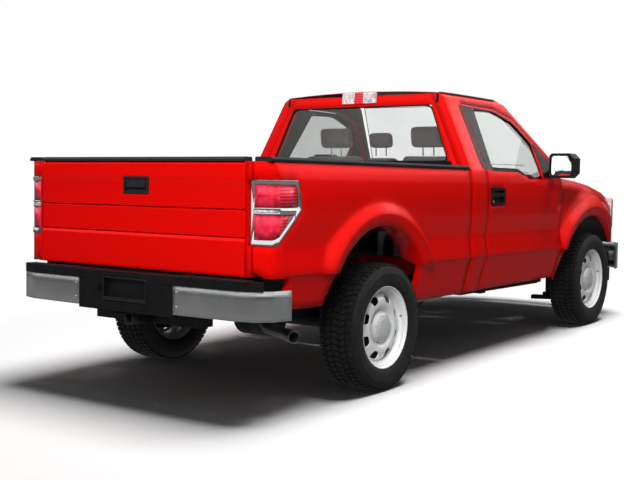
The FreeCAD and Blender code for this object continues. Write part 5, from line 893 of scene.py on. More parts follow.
class Repeater:
    """Geometry Nodes that repeat a piece in a ring or a row, or draw a rod along a path."""

    kinds: ClassVar[dict[str, str]] = {
        "Count": "Int", "Start": "Float", "Step": "Vector", "Radius": "Float", "Sides": "Int",
        "Surface": "Material"}

    @staticmethod
    def ring_of_pieces(tree: Tree, start: bpy.types.Node) -> Socket:
        """Repeat a shape about the z axis."""
        count = start.outputs["Count"]
        spots = add_node(tree, "GeometryNodePoints", {"Count": count})
        index = add_node(tree, "GeometryNodeInputIndex")
        share = add_node(tree, "ShaderNodeMath", {0: index.outputs[0], 1: count}, operation="DIVIDE")
        turn = add_node(tree, "ShaderNodeMath", {
            0: share.outputs[0], 1: FULL_TURN, 2: start.outputs["Start"]}, operation="MULTIPLY_ADD")
        spin = add_node(tree, "ShaderNodeCombineXYZ", {"Z": turn.outputs[0]})
        return add_node(tree, "GeometryNodeInstanceOnPoints", {
            "Points": spots.outputs[0], "Instance": start.outputs["Geometry"],
            "Rotation": spin.outputs[0]}).outputs[0]

    @staticmethod
    def row_of_pieces(tree: Tree, start: bpy.types.Node) -> Socket:
        """Repeat a shape along a straight step."""
        index = add_node(tree, "GeometryNodeInputIndex")
        spread = add_node(tree, "ShaderNodeVectorMath", {
            0: start.outputs["Step"], "Scale": index.outputs[0]}, operation="SCALE")
        spots = add_node(tree, "GeometryNodePoints", {
            "Count": start.outputs["Count"], "Position": spread.outputs[0]})
        return add_node(tree, "GeometryNodeInstanceOnPoints", {
            "Points": spots.outputs[0], "Instance": start.outputs["Geometry"]}).outputs[0]

    @staticmethod
    def rod_along_path(tree: Tree, start: bpy.types.Node) -> Socket:
        """Draw a round rod along a path."""
        section = add_node(tree, "GeometryNodeCurvePrimitiveCircle", {
            "Resolution": start.outputs["Sides"], "Radius": start.outputs["Radius"]})
        swept = add_node(tree, "GeometryNodeCurveToMesh", {
            "Curve": start.outputs["Geometry"], "Profile Curve": section.outputs[0],
            "Fill Caps": True})
        return add_node(tree, "GeometryNodeSetShadeSmooth", {"Geometry": swept.outputs[0]}).outputs[0]

    @classmethod
    @cache
    def rule(cls, shape: Callable[[Tree, bpy.types.Node], Socket], names: tuple[str, ...]) -> Tree:
        """Build the tree of a shape, with named inputs, that ends in plain geometry.

        Args:
            shape: the function that draws what the rule repeats, one of those above.
            names: its inputs after the geometry.

        Returns:
            The tree.
        """
        tree = bpy.data.node_groups.new(shape.__name__, "GeometryNodeTree")
        for way in ("INPUT", "OUTPUT"):
            tree.interface.new_socket("Geometry", in_out=way, socket_type="NodeSocketGeometry")
        for name in names:
            tree.interface.new_socket(name, in_out="INPUT",
                                      socket_type="NodeSocket" + cls.kinds[name])
        start = add_node(tree, "NodeGroupInput")
        plain = add_node(tree, "GeometryNodeRealizeInstances", {"Geometry": shape(tree, start)})
        dressed = add_node(tree, "GeometryNodeSetMaterial", {
            "Geometry": plain.outputs[0], "Material": start.outputs["Surface"]})
        add_node(tree, "NodeGroupOutput", {"Geometry": dressed.outputs[0]})
        return tree

    @classmethod
    def run(cls, piece: Piece, shape: Callable[[Tree, bpy.types.Node], Socket], finish: Finish,
            **values: object) -> Piece:
        """Run a rule on a piece with its inputs set, and settle the result.

        Args:
            piece: the object that feeds the rule.
            shape: the function that draws what the rule repeats.
            finish: the finish of the result.
            values: the other inputs by name.

        Returns:
            The plain object.
        """
        values["Surface"] = finish.material()
        step = piece.modifiers.new("repeat", "NODES")
        step.node_group = cls.rule(shape, tuple(values))
        for item in step.node_group.interface.items_tree:
            if item.in_out == "INPUT" and item.name in values:
                step[item.identifier] = values[item.name]
        return baked(piece)

    @classmethod
    def ring(cls, piece: Piece, count: int, finish: Finish, start: float) -> Piece:
        """Repeat a piece about the z axis.

        Args:
            piece: one piece, drawn where the first one stands.
            count: how many there are in a full turn.
            finish: their finish.
            start: the angle of the first one, in radians.

        Returns:
            The ring.
        """
        return cls.run(piece, cls.ring_of_pieces, finish, Count=count, Start=start)

    @classmethod
    def row(cls, piece: Piece, count: int, step: Vector, finish: Finish) -> Piece:
        """Repeat a piece along a straight step.

        Args:
            piece: one piece, drawn where the first one stands.
            count: how many there are.
            step: from one to the next, in metres.
            finish: their finish.

        Returns:
            The row.
        """
        return cls.run(piece, cls.row_of_pieces, finish, Count=count, Step=tuple(step))

    @classmethod
    def rod(cls, name: str, points: Sequence[Vector], radius_mm: float, finish: Finish,
            closed: bool = False) -> Piece:
        """Draw a round rod along a line of points.

        Args:
            name: the piece's name.
            points: the corners of the path, in metres.
            radius_mm: the rod's radius.
            finish: its finish.
            closed: whether the path is a loop.

        Returns:
            The rod.
        """
        line = bpy.data.curves.new(name + "_path", "CURVE")
        line.dimensions = "3D"
        spline = line.splines.new("POLY")
        spline.points.add(len(points) - 1)
        for spot, point in zip(spline.points, points):
            spot.co = (*point, 1.0)
        spline.use_cyclic_u = closed
        path = make_object(name + "_path", line)
        made = cls.run(path, cls.rod_along_path, finish, Radius=radius_mm / 1000, Sides=10)
        return renamed(made, name)


def rounded(corners: Sequence[Vector], radius: float, steps: int, closed: bool = True
            ) -> list[Vector]:
    """Round the corners of a line or a loop.

    Args:
        corners: its corners in order.
        radius: how far from a corner the rounding starts, in the corners' own unit.
        steps: how many strips each corner gets.
        closed: whether the last corner joins the first.

    Returns:
        The points of the rounded line.
    """
    count = len(corners)
    longest = 0.45  # the share of a side that one corner's rounding may take
    made: list[Vector] = []
    for number, corner in enumerate(corners):
        if not closed and number in (0, count - 1):
            made.append(Vector(corner))
            continue
        back, on = corners[number - 1] - corner, corners[(number + 1) % count] - corner
        start = corner + back.normalized() * min(radius, back.length * longest)
        end = corner + on.normalized() * min(radius, on.length * longest)
        for step in range(steps + 1):
            share = step / steps
            made.append(start * (1 - share) ** 2 + corner * 2 * share * (1 - share)
                        + end * share ** 2)
    return made


def renamed(piece: Piece, name: str) -> Piece:
    """Give a piece its final name."""
    piece.name = name
    return piece


def settle(piece: Piece, body: str, finish: Finish | None,
           stands_for: Sequence[str] = ()) -> None:
    """Give a finished piece its finish, its body and what it stands for, and report it.

    Args:
        piece: the finished piece.
        body: the body of the frame that it rides on.
        finish: its finish, or none where its mesh already has one.
        stands_for: the frame's nodes that it replaces.
    """
    if finish is not None:
        piece.data.materials.clear()
        piece.data.materials.append(finish.material())
        for face in piece.data.polygons:
            face.material_index = 0
    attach(piece, body)
    if stands_for:
        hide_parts(*stands_for)
    log.info("%s: %d faces on %s", piece.name, len(piece.data.polygons), body)


def paint(finish: Finish, *nodes: str) -> None:
    """Give frame nodes a finish in all their slots."""
    for node in nodes:
        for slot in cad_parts[node].material_slots:
            slot.material = finish.material()


# Running gear

@dataclass
class Tyre:
    """An all-season truck tyre: a carcass with five rings of tread blocks."""

    node: str
    body: str
    centre: Vector
    side: Side

    crown: ClassVar[float] = 380.6
    floor: ClassVar[float] = 372.0
    blocks: ClassVar[int] = 64
    pitch: ClassVar[float] = FULL_TURN / blocks
    wall: ClassVar[tuple[Pair, ...]] = (
        (237, 96), (240, 104), (246, 106), (252, 111), (262, 116.5), (276, 121), (292, 124),
        (306, 125), (318, 124.6), (320, 125), (326, 125), (328, 123.6), (340, 121), (350, 117.5),
        (359, 112), (365, 106), (369, 99), (371.5, 92))
    # Each ring's inner and outer edge, the lead of its outer edge and the rubber's share of a pitch.
    rings: ClassVar[tuple[tuple[float, ...], ...]] = (
        (-108, -76, 0.22, 0.76), (-68, -30, -0.35, 0.84), (-22, 22, 0.3, 0.88),
        (30, 68, -0.35, 0.84), (76, 108, 0.22, 0.76))

    def profile(self) -> list[Pair]:
        """Give the carcass profile, radius and reach, from bead to bead."""
        tread = [(self.floor, reach) for reach in (80, 40, 0, -40, -80)]
        return [*self.wall, *tread, *((radius, -reach) for radius, reach in reversed(self.wall))]

    def block(self, low: float, high: float, slant: float, share: float) -> Piece:
        """Draw one tread block about the z axis, with its rubber rising from the groove floor.

        Args:
            low: the inner edge of its ring, reach in millimetres.
            high: the outer edge of its ring.
            slant: how far one edge leads the other, as a share of the pitch.
            share: how much of the pitch is rubber.

        Returns:
            The block, ready to be repeated.
        """
        sunk = 1.5  # how deep the block's foot is in the carcass
        shoulder, fall, width = 60, 5.5, 48  # where the crown begins to fall, how far, over what
        middle = (low + high) / 2
        points = []
        for top, grow, narrow in ((False, 1.0, 1.0), (True, 0.9, 0.97)):
            for edge, lead in ((low, 0.0), (high, slant)):
                for half in (-0.5, 0.5):
                    drop = fall * max(0.0, (abs(edge) - shoulder) / width) ** 2
                    reach = self.crown - drop if top else self.floor - sunk
                    turn = self.pitch * (lead + half * share * grow)
                    points.append(Vector((reach * math.cos(turn), reach * math.sin(turn),
                                          middle + (edge - middle) * narrow)) / 1000)
        faces = [(0, 1, 3, 2), (4, 5, 7, 6), (0, 1, 5, 4), (2, 3, 7, 6), (0, 2, 6, 4), (1, 3, 7, 5)]
        return from_points("block", points, faces)

    def build(self) -> None:
        """Build the tyre and set it on its wheel."""
        rubber = TyreRubber()
        parts = [turned("carcass", self.profile(), self.centre, self.side.value, 120, crease=40)]
        for number, ring in enumerate(self.rings):
            made = Repeater.ring(self.block(*ring), self.blocks, rubber, number % 2 * self.pitch / 2)
            made.data.transform(Matrix.Translation(self.centre)
                                @ Matrix.Rotation(math.pi / 2, 4, "X"))
            parts.append(made)
        settle(joined(self.node + "_tread", parts), self.body, rubber, (self.node,))


@dataclass
class Wheel:
    """A pressed steel wheel: lip, well, bulged disc with eight windows and a domed cap."""

    node: str
    body: str
    centre: Vector
    side: Side

    windows: ClassVar[int] = 8
    first_stud: ClassVar[float] = 0.2  # its angle, in radians
    rim_line: ClassVar[tuple[Pair, ...]] = (
        (246, 104), (245, 107), (241, 107), (238, 104), (236.5, 97), (233, 92), (226, 90),
        (221, 86), (218.5, 76), (214, 64), (210, 56), (207, 44), (205, 10), (205, -60), (214, -72),
        (222, -88), (232, -98), (244, -104), (246, -100), (236, -92), (226, -80), (216, -64),
        (212, -40), (212, 20), (214, 48), (221, 62), (226, 78), (231, 84), (238, 88), (242, 96))
    disc_line: ClassVar[tuple[Pair, ...]] = (
        (209, 40), (206, 47), (201, 52), (196, 56), (190, 61), (184, 66), (177, 71), (169, 75.5),
        (160, 79), (150, 81), (140, 81.5), (130, 80), (121, 76.5), (113, 71), (107, 65), (102, 60),
        (97, 57), (90, 55), (60, 54), (34, 53))
    cap_line: ClassVar[tuple[Pair, ...]] = (
        (0.01, 98.5), (28, 98), (50, 96.5), (55, 96), (57, 94.2), (60, 94), (70, 91.8), (80, 87),
        (87, 80.5), (91, 73), (93.5, 64), (94.5, 57), (91, 56), (88, 64), (80, 78), (60, 88),
        (30, 91), (0.01, 91.5))
    drum_line: ClassVar[tuple[Pair, ...]] = (
        (172, 6), (172, 30), (165, 37), (120, 42), (80, 44), (80, 38), (118, 36), (160, 30), (164, 6))

    def window(self) -> Piece:
        """Draw one window's cutter about the z axis, a trapezoid with round corners."""
        corners = [Vector(corner) for corner in ((149, -27, 30), (194, -37, 30), (194, 37, 30),
                                                 (149, 27, 30))]
        loop = [point / 1000 for point in rounded(corners, 19.0, 6)]
        return extruded("window", loop, Vector((0, 0, 0.08)))

    def placed(self, piece: Piece) -> Piece:
        """Move a piece that was drawn about the z axis to this wheel's axle."""
        piece.data.transform(Matrix.Rotation(-math.pi / 2 * self.side.value, 4, "X"))
        piece.data.transform(Matrix.Translation(self.centre))
        return piece

    def disc(self) -> Piece:
        """Press the disc, give it thickness and cut its windows."""
        thickness = 6
        sheet = [*self.disc_line, *((radius, reach - thickness)
                                    for radius, reach in reversed(self.disc_line))]
        disc = turned("disc", sheet, ORIGIN, 1, 120)
        disc.data.transform(Matrix.Rotation(math.pi / 2, 4, "X"))
        cutters = Repeater.ring(self.window(), self.windows, WheelEnamel(), math.pi / self.windows)
        self.placed(soften(carved(disc, [cutters]), 2.2, 2, 42))
        tidy(disc.data, 30)
        return disc

    def small_ring(self, radius: float, reach: float, size: float, tall: float, count: int,
                   finish: Finish) -> Piece:
        """Repeat a small domed stud round the wheel.

        Args:
            radius: where the studs stand.
            reach: how far outwards their foot is.
            size: half their width.
            tall: their height.
            count: how many there are.
            finish: their finish.

        Returns:
            The ring, in place.
        """
        stud = domed("stud", Vector((radius, 0, reach)) / 1000, Vector((0, 0, 1)), size, tall)
        return self.placed(Repeater.ring(stud, count, finish, self.first_stud))

    def build(self) -> None:
        """Build the wheel and set it on its body."""
        enamel, rubber = WheelEnamel(), MouldedPlastic("#0E0E0E")
        rim = turned("rim", self.rim_line, self.centre, self.side.value, 120)
        settle(joined(self.node + "_pressed", [rim, self.disc()]), self.body, enamel,
               (self.node,))
        cap = turned("cap", self.cap_line, self.centre, self.side.value, 72)
        studs = self.small_ring(76, 86.5, 7.5, 5.5, 7, enamel)
        settle(joined(self.node + "_cap", [cap, studs]), self.body, WheelEnamel("#C3C4C4"))
        valve = self.small_ring(216, 74, 4.5, 14, 1, rubber)
        settle(renamed(valve, self.node + "_valve"), self.body, rubber)
        drum = turned(self.node + "_drum", self.drum_line, self.centre, self.side.value, 72)
        settle(drum, self.body, CastIron())


@dataclass
class RunningGear:
    """Tyres, wheels, axles, springs, frame, drive line, tank, pipe and hitch."""

    track: ClassVar[float] = 1702.0
    wheelbase: ClassVar[float] = 3200.0
    height: ClassVar[float] = 381.0

    def build(self) -> None:
        """Build the four wheels and dress what carries them."""
        for place, x in (("rear", 0.0), ("front", self.wheelbase)):
            for side in Side:
                centre = STANCE.road(x, self.track / 2 * side.value, self.height)
                body = f"{place}_wheel_{side.word}"
                Tyre(f"tyre_{place}_{side.word}", body, centre, side).build()
                Wheel(f"rim_{place}_{side.word}", body, centre, side).build()
        paint(WaxedSteel(), "chassis_frame", "hitch_crossbar")
        paint(WaxedSteel("#1B1B1C"), "hitch_receiver")
        paint(CastIron(), "rear_axle", "rear_springs", "front_suspension", "knuckle_left",
              "knuckle_right", "prop_shaft")
        paint(CastAluminium(), "engine_and_gearbox")
        paint(PipeSteel(), "exhaust")
        paint(MouldedPlastic("#141414", rough=0.6), "fuel_tank")
        self.pipe_end()

    def pipe_end(self) -> None:
        """Sleeve the end of the tail pipe with a smooth tube whose lip is rolled in."""
        mouth, before = STANCE.road(-822, -900, 428), STANCE.road(-640, -550, 428)
        line = ((29.2, -74), (34.6, -74), (34.8, -5), (34, -1), (32, 1.5), (30, 1), (29.2, -3))
        tip = turned("pipe_end", line, ORIGIN, 1, 48)
        turn = Vector((0, 1, 0)).rotation_difference(mouth - before).to_matrix().to_4x4()
        tip.data.transform(Matrix.Translation(mouth) @ turn)
        settle(tip, TRUCK, PipeSteel())


# Cab

@dataclass
class Pad:
    """One foam pad under cloth, blown up a little by simulation from a smaller block.

    Attributes:
        name: the pad's name.
        low: its lowest corner, in body millimetres.
        high: its highest corner.
        lean: how far back its top stands, in millimetres.
        grow: how far the cloth may move, in metres.
        round_mm: the radius of the block's edges.
        voxel: the size of its cells, in metres.
        fill: how firmly it is filled.
        stands_for: the frame's nodes that it replaces.
    """

    name: str
    low: Triple
    high: Triple
    lean: float
    grow: float
    round_mm: float
    # fill: how firmly it is filled; not used.
    voxel: float
    fill: float = 0.75
    stands_for: tuple[str, ...] = ()

    smaller: ClassVar[float] = 0.8  # the share of its growth that the block is drawn smaller by
    pressure: ClassVar[float] = 4.0
    quality: ClassVar[int] = 3
    frames: ClassVar[int] = 14

    def block(self) -> Piece:
        """Draw the starting block, leaning back as it rises."""
        shrink = 1000 * self.grow * self.smaller
        low = [part + shrink for part in self.low]
        high = [part - shrink for part in self.high]
        points = [STANCE.body(x + shift, y, z)
                  for z, shift in ((low[2], 0.0), (high[2], -self.lean))
                  for x, y in ((low[0], low[1]), (high[0], low[1]), (high[0], high[1]),
                               (low[0], high[1]))]
        faces = [(0, 3, 2, 1), (4, 5, 6, 7), (0, 1, 5, 4), (1, 2, 6, 5), (2, 3, 7, 6), (3, 0, 4, 7)]
        return soften(from_points(self.name, points, faces), self.round_mm, 4)

    def inflate(self, pad: Piece) -> None:
        """Blow a pad up under cloth and stop each point that has moved too far.

        Args:
            pad: the even block.
        """
        rest = [vert.co.copy() for vert in pad.data.vertices]
        cloth = pad.modifiers.new("cloth", "CLOTH")
        cloth.settings.use_pressure = True
        cloth.settings.uniform_pressure_force = self.pressure
        cloth.settings.effector_weights.gravity = 0.0
        cloth.settings.quality = self.quality
        for step in range(1, self.frames + 1):
            bpy.context.scene.frame_set(step)
        baked(pad)
        bpy.context.scene.frame_set(1)
        for vert, home in zip(pad.data.vertices, rest):
            moved = vert.co - home
            if moved.length > self.grow:
                vert.co = home + moved.normalized() * self.grow

    def build(self) -> None:
        """Blow the pad up, give it one subdivision and set it on the truck."""
        pad = self.block()
        remesh = pad.modifiers.new("even", "REMESH")
        remesh.mode = "VOXEL"
        remesh.voxel_size = self.voxel
        baked(pad)
        self.inflate(pad)
        finer = pad.modifiers.new("finer", "SUBSURF")
        finer.levels = 1
        finer.render_levels = 1
        baked(pad).data.shade_smooth()
        settle(pad, TRUCK, SeatCloth(), self.stands_for)


@dataclass
class Bench:
    """The cab's bench: one cushion, three backs and three head restraints."""

    pads: ClassVar[tuple[Pad, ...]] = (
        Pad("bench_cushion", (1418, -728, 745), (1925, 728, 930), 0.0, 0.016, 60, 0.014,
            stands_for=("seat_cushion",)),
        Pad("back_left", (1448, 160, 925), (1560, 728, 1462), 95, 0.014, 45, 0.013,
            stands_for=("seat_backs",)),
        Pad("back_middle", (1448, -150, 925), (1555, 150, 1445), 95, 0.012, 40, 0.013),
        Pad("back_right", (1448, -728, 925), (1560, -160, 1462), 95, 0.014, 45, 0.013),
        Pad("rest_left", (1355, 258, 1490), (1440, 556, 1658), 22, 0.01, 34, 0.009, 0.9),
        Pad("rest_middle", (1355, -102, 1492), (1440, 102, 1616), 16, 0.008, 30, 0.009, 0.9),
        Pad("rest_right", (1355, -556, 1490), (1440, -258, 1658), 22, 0.01, 34, 0.009, 0.9),
    )

    def build(self) -> None:
        """Build the pads and the posts of the head restraints."""
        for pad in self.pads:
            pad.build()
        posts = [Repeater.rod("post", [STANCE.body(1396, middle + offset, 1440),
                                       STANCE.body(1392, middle + offset, 1510)], 6, PlatedChrome())
                 for middle in (407, 0, -407) for offset in (-45, 45)]
        settle(joined("rest_posts", posts), TRUCK, PlatedChrome())


@dataclass
class DoorTrim:
    """What dresses one door: pillar plates, mirror glass, lock and window seal."""

    side: Side

    belt: ClassVar[Pair] = (938, 1332)  # half width and height of the door frame's widest line
    lean_up: ClassVar[float] = 0.498  # how much narrower the frame is for each unit over the belt
    lean_down: ClassVar[float] = 0.154  # how much wider the panel is for each unit below it
    sunk: ClassVar[float] = -2.0  # how far a plate starts under the face, and how far it stands out
    proud: ClassVar[float] = 2.2
    # Each plate's name, whether it moves with the door, and its outline in the side view.
    plates: ClassVar[tuple[tuple[str, bool, tuple[Pair, ...]], ...]] = (
        ("pillar_cover", True, ((1290, 1338), (1374, 1338), (1374, 1352), (1463, 1772), (1455, 1786),
                                (1327, 1790))),
        ("pillar_foot", False, ((1228, 1392), (1238, 1352), (1262, 1338), (1279, 1338), (1316, 1790),
                                (1268, 1790))),
        ("belt_trim", True, ((1376, 1334), (1772, 1334), (1850, 1310), (1918, 1280), (2186, 1278),
                             (2186, 1292), (1932, 1294), (1862, 1322), (1790, 1349), (1376, 1349))),
        ("sail_cover", True, ((2168, 1292), (2420, 1292), (2436, 1378), (2268, 1534), (2224, 1556))))
    mirror: ClassVar[tuple[Pair, ...]] = ((1030, 1312), (1186, 1312), (1186, 1458), (1030, 1458))
    seal: ClassVar[tuple[Pair, ...]] = (
        (1376, 1352), (1466, 1765), (1700, 1772), (1795, 1763), (2028, 1700), (2208, 1550),
        (2160, 1292), (1942, 1292), (1790, 1350))

    def at(self, x: float, z: float, proud: float) -> Vector:
        """Give a point of the door frame's outer face, a little proud of it."""
        half, height = self.belt
        lean = -(z - height) * self.lean_up if z > height else (height - z) * self.lean_down
        return STANCE.body(x, (half + lean + proud) * self.side.value, z)

    def build(self) -> None:
        """Build the pieces on one door and its pillar."""
        sign, word = self.side.value, self.side.word
        door = f"door_{word}"
        lift = self.at(1400, 1500, self.proud) - self.at(1400, 1500, self.sunk)
        for name, moves, corners in self.plates:
            outline = [self.at(x, z, self.sunk) for x, z in corners]
            settle(extruded(f"{name}_{word}", outline, lift), door if moves else TRUCK, GlossBlack())
        glass = rounded([STANCE.body(2149.2, y * sign, z) for y, z in self.mirror], 0.024, 5)
        settle(extruded(f"mirror_glass_{word}", glass, Vector((0.003, 0, 0))), door, MirrorSilver())
        lock = domed(f"door_lock_{word}", STANCE.body(1322, 975 * sign, 1118), Vector((0, sign, 0)),
                     9, 3, 20)
        settle(lock, door, PlatedChrome(rough=0.14))
        loop = rounded([self.at(x, z, 2 * self.sunk) for x, z in self.seal], 0.03, 5)
        settle(Repeater.rod(f"window_seal_{word}", loop, 6.0, MouldedPlastic("#0B0B0C"), True), door,
               None)


@dataclass
class Cab:
    """Cab shell, glass, doors, mirrors, mouldings and what shows through the glass."""

    glass_foot: ClassVar[Pair] = (1048, 1332)  # x and z of the rear window's lower edge
    glass_head: ClassVar[Pair] = (1100, 1862)

    def dress_shell(self) -> None:
        """Give the cab's own panels their finishes."""
        paint(LinedOrShadedPaint(inward=(1.0, 0.0, 0.0)), "cab_back_panel")
        paint(LinedOrShadedPaint(lining="#8C8A85"), "roof_panel")
        paint(FloorCarpet(), "cab_floor")
        paint(MouldedPlastic("#131314"), "cowl_panel")
        paint(MouldedPlastic("#2A2926", rough=0.62), "dashboard")
        paint(MouldedPlastic("#1C1B1A", rough=0.45), "steering_wheel")
        paint(SafetyGlass("#FAFBFA"), "rear_window")
        paint(SafetyGlass("#FAFCFB"), "windshield")
        paint(HighLampLens(), "stop_lamp")
        for side in Side:
            paint(LinedOrShadedPaint(inward=side.inward), f"cab_side_{side.word}", f"door_{side.word}")
            paint(SafetyGlass("#C4C9C6"), f"door_glass_{side.word}")
            paint(MouldedPlastic("#121213", rough=0.42), f"mirror_{side.word}")
            paint(MouldedPlastic("#0F0F10", rough=0.38), f"door_handle_{side.word}")

    def roof_mouldings(self) -> None:
        """Lay the black mouldings in the two roof ditches."""
        for side in Side:
            line = [STANCE.body(x, 641 * side.value, z) for x, z in (
                (1090, 1800), (1100, 1852), (1128, 1863), (1300, 1866), (1600, 1866), (1930, 1865))]
            settle(Repeater.rod(f"roof_moulding_{side.word}", line, 10, GlossBlack()), TRUCK, None)

    def window_seals(self) -> None:
        """Run a rubber seal round the rear window and a black band along its foot."""
        (foot, low), (head, high) = self.glass_foot, self.glass_head
        lean = (head - foot) / (high - low)
        loop = [STANCE.body(foot + lean * (z - low) + 4, y, z)
                for y, z in ((-758, 1390), (758, 1390), (594, 1780), (-594, 1780))]
        settle(Repeater.rod("rear_window_seal", rounded(loop, 0.05, 6), 6, MouldedPlastic("#0B0B0C"),
                            True), TRUCK, None)
        band = [STANCE.body(foot + lean * max(0, z - low) - 2.5, y, z)
                for y, z in ((-800, 1326), (800, 1326), (786, 1392), (-786, 1392))]
        settle(extruded("rear_window_band", band, Vector((0.004, 0, 0))), TRUCK, GlossBlack())

    def build(self) -> None:
        """Build the cab's trims."""
        self.dress_shell()
        self.roof_mouldings()
        self.window_seals()
        for side in Side:
            DoorTrim(side).build()
        Bench().build()


# Load bed and rear end

@dataclass
class TailLamp:
    """A wrap-round rear lamp: bright bezel, two red lenses and a clear band between them."""

    side: Side

    upper: ClassVar[tuple[Pair, ...]] = ((-1180, 1098), (-893, 1098), (-908, 1218), (-1180, 1218))
    lower: ClassVar[tuple[Pair, ...]] = (
        (-1180, 932), (-1066, 932), (-1040, 946), (-919, 1064), (-1180, 1064))
    band: ClassVar[tuple[Pair, ...]] = ((-1180, 1072), (-1040, 1072), (-1040, 1090), (-1180, 1090))
    sink: ClassVar[float] = 0.004  # how deep the lenses lie in the bezel
    corner: ClassVar[float] = 0.012  # how far from a lens's corner its rounding starts
    bezel_inner: ClassVar[float] = 834.0  # where the cuts start, out from the middle plane
    lens_inner: ClassVar[float] = 830.0

    def volume(self, outline: Sequence[Pair], inner: float) -> Piece:
        """Draw a cutter from its side outline, reaching outwards from the lamp's inner edge.

        Args:
            outline: its corners in the side view.
            inner: where it starts, in millimetres from the middle plane.

        Returns:
            The cutter.
        """
        loop = rounded([STANCE.body(x, inner * self.side.value, z) for x, z in outline],
                       self.corner, 4)
        return extruded("cutter", loop, Vector((0, 0.2 * self.side.value, 0)))

    def half(self, name: str) -> Piece:
        """Give this side's lamp body, copied from the frame."""
        whole = merged_copy("tail_lamps", name)
        with opened(whole.data) as shape:
            far = [face for face in shape.faces
                   if face.calc_center_median().y * self.side.value < 0]
            bmesh.ops.delete(shape, geom=far, context="FACES")
        return whole

    def build(self) -> None:
        """Build the bezel and the lenses."""
        word = self.side.word
        bezel = carved(self.half(f"lamp_bezel_{word}"), [
            self.volume(outline, self.bezel_inner)
            for outline in (self.upper, self.lower, self.band)])
        settle(bezel, TRUCK, PlatedChrome(rough=0.14), ("tail_lamps",))
        # Both lenses carry their reflector's facets as painted highlights and painted shade.
        red, clear = LampLens(), LampLens("#E6E8EA", "#5B5E61", facet_mm=18.0)
        for name, outline, finish, slot in (("upper", self.upper, red, "lamp_red"),
                                            ("lower", self.lower, red, "lamp_red"),
                                            ("clear", self.band, clear, "lamp_clear")):
            body = self.half(f"lamp_lens_{name}_{word}")
            body.data.transform(Matrix.Translation((self.sink, -self.sink * self.side.value, 0)))
            settle(carved(body, [self.volume(outline, self.lens_inner)], "INTERSECT"), TRUCK,
                   finish)


@dataclass
class LoadBed:
    """Bedsides, floor, tailgate, caps, lamps and fuel door."""

    creases: ClassVar[Pair] = (939, 1085)  # heights of the tailgate's two lower creases
    groove: ClassVar[tuple[Pair, ...]] = ((-1130, -4.5), (-1108, -2), (-1108, 2), (-1130, 4.5))
    groove_half: ClassVar[float] = 800  # half of its length, past both ends of the gate

    def gate(self) -> None:
        """Press a narrow groove across the tailgate over each of its two lower creases."""
        across = Vector((0, 2 * self.groove_half / 1000, 0))
        grooves = [extruded("groove", [STANCE.body(x, -self.groove_half, height + rise)
                                       for x, rise in self.groove], across)
                   for height in self.creases]
        gate = carved(merged_copy("tailgate", "tailgate_pressed"), grooves)
        tidy(gate.data, 18)  # the ledges are gentle, and still show as lines
        settle(gate, "tailgate", CoatedPaint(round_mm=10.0), ("tailgate",))

    def build(self) -> None:
        """Dress the bed and build its tailgate and lamps."""
        # The bedsides' low faces that look inwards, under the bed floor, get black painted shade where
        # they lie in deep shadow.
        for side in Side:
            paint(LinedOrShadedPaint(inward=side.inward, lining="#0B0B0C", below=0.88),
                  f"bedside_{side.word}")
        paint(CoatedPaint(round_mm=10.0), "bed_front_wall", "fuel_door")
        self.gate()
        paint(LinedOrShadedPaint(round_mm=10.0, lining="#0C0C0D"), "bed_floor")
        centre = STANCE.road(0, 0, RunningGear.height)
        paint(HousingPaint(centre=(centre.x, 0.0, centre.z)), "wheelhouses")
        paint(MouldedPlastic("#1B1B1D", rough=0.5), "bed_rail_caps", "tailgate_trim")
        for side in Side:
            TailLamp(side).build()


@dataclass
class RearBumper:
    """Bright bumper ends, black step pad with toothed treads, recess, plug, sills and socket."""

    face: ClassVar[PlatedChrome] = PlatedChrome(rough=0.12, round_mm=55.0)
    treads_a_side: ClassVar[int] = 15
    tread_edges: ClassVar[Pair] = (400, 416)  # the inmost tread, out from the middle plane
    tread_pitch: ClassVar[float] = 0.0315

    def treads(self) -> None:
        """Repeat the raised treads on both halves of the step pad."""
        plastic = MouldedPlastic("#161618")
        for side in Side:
            near, far = sorted(edge * side.value for edge in self.tread_edges)
            tread = box_piece("tread", (-1196, near, 716), (-1118, far, 726.5), 3)
            step = Vector((0, self.tread_pitch * side.value, 0))
            row = Repeater.row(tread, self.treads_a_side, step, plastic)
            settle(renamed(row, f"step_treads_{side.word}"), TRUCK, plastic)

    def build(self) -> None:
        """Dress the bumper and build what stands on it and behind it."""
        paint(self.face, "rear_bumper")
        paint(MouldedPlastic("#0B0B0C"), "bumper_step_pad")
        self.treads()
        spot = STANCE.body(-1206.5, 206, 626)
        plug = [domed("plug_cup", spot, REARWARD, 24, 5, 24),
                domed("plug_bung", spot + REARWARD * 0.004, REARWARD, 14, 7, 24)]
        settle(joined("bumper_plug", plug), TRUCK, GlossBlack())
        recess = [STANCE.body(-1207, y, z) for y, z in
                  ((-167, 573), (167, 573), (167, 686), (-167, 686))]
        settle(Repeater.rod("recess_frame", rounded(recess, 0.012, 4), 4.0, MouldedPlastic(), True),
               TRUCK, None)
        shelf = box_piece("recess_shelf", (-1213, -170, 556), (-1196, 170, 569), 4)
        settle(shelf, TRUCK, MouldedPlastic("#161618"))
        sills = [box_piece("sill_rear", (-1108, -780, 690), (-1042, 780, 724), 4),
                 box_piece("sill_front", (-1006, -780, 700), (-950, 780, 733), 4)]
        settle(joined("tailgate_sill", sills), TRUCK, MouldedPlastic("#0B0B0C"))
        socket = [box_piece("socket_case", (-1166, 78, 476), (-1030, 142, 534), 9),
                  domed("socket_lid", STANCE.body(-1165, 110, 505), REARWARD, 27, 9, 20)]
        settle(joined("trailer_socket", socket), TRUCK, MouldedPlastic("#0E0E0F"))
        bolts = [domed("bolt", STANCE.body(-1207.5, 395 * side.value, height), REARWARD, 9, 5, 12)
                 for side in Side for height in (556, 636)]
        settle(joined("bumper_bolts", bolts), TRUCK, PlatedChrome(rough=0.14))


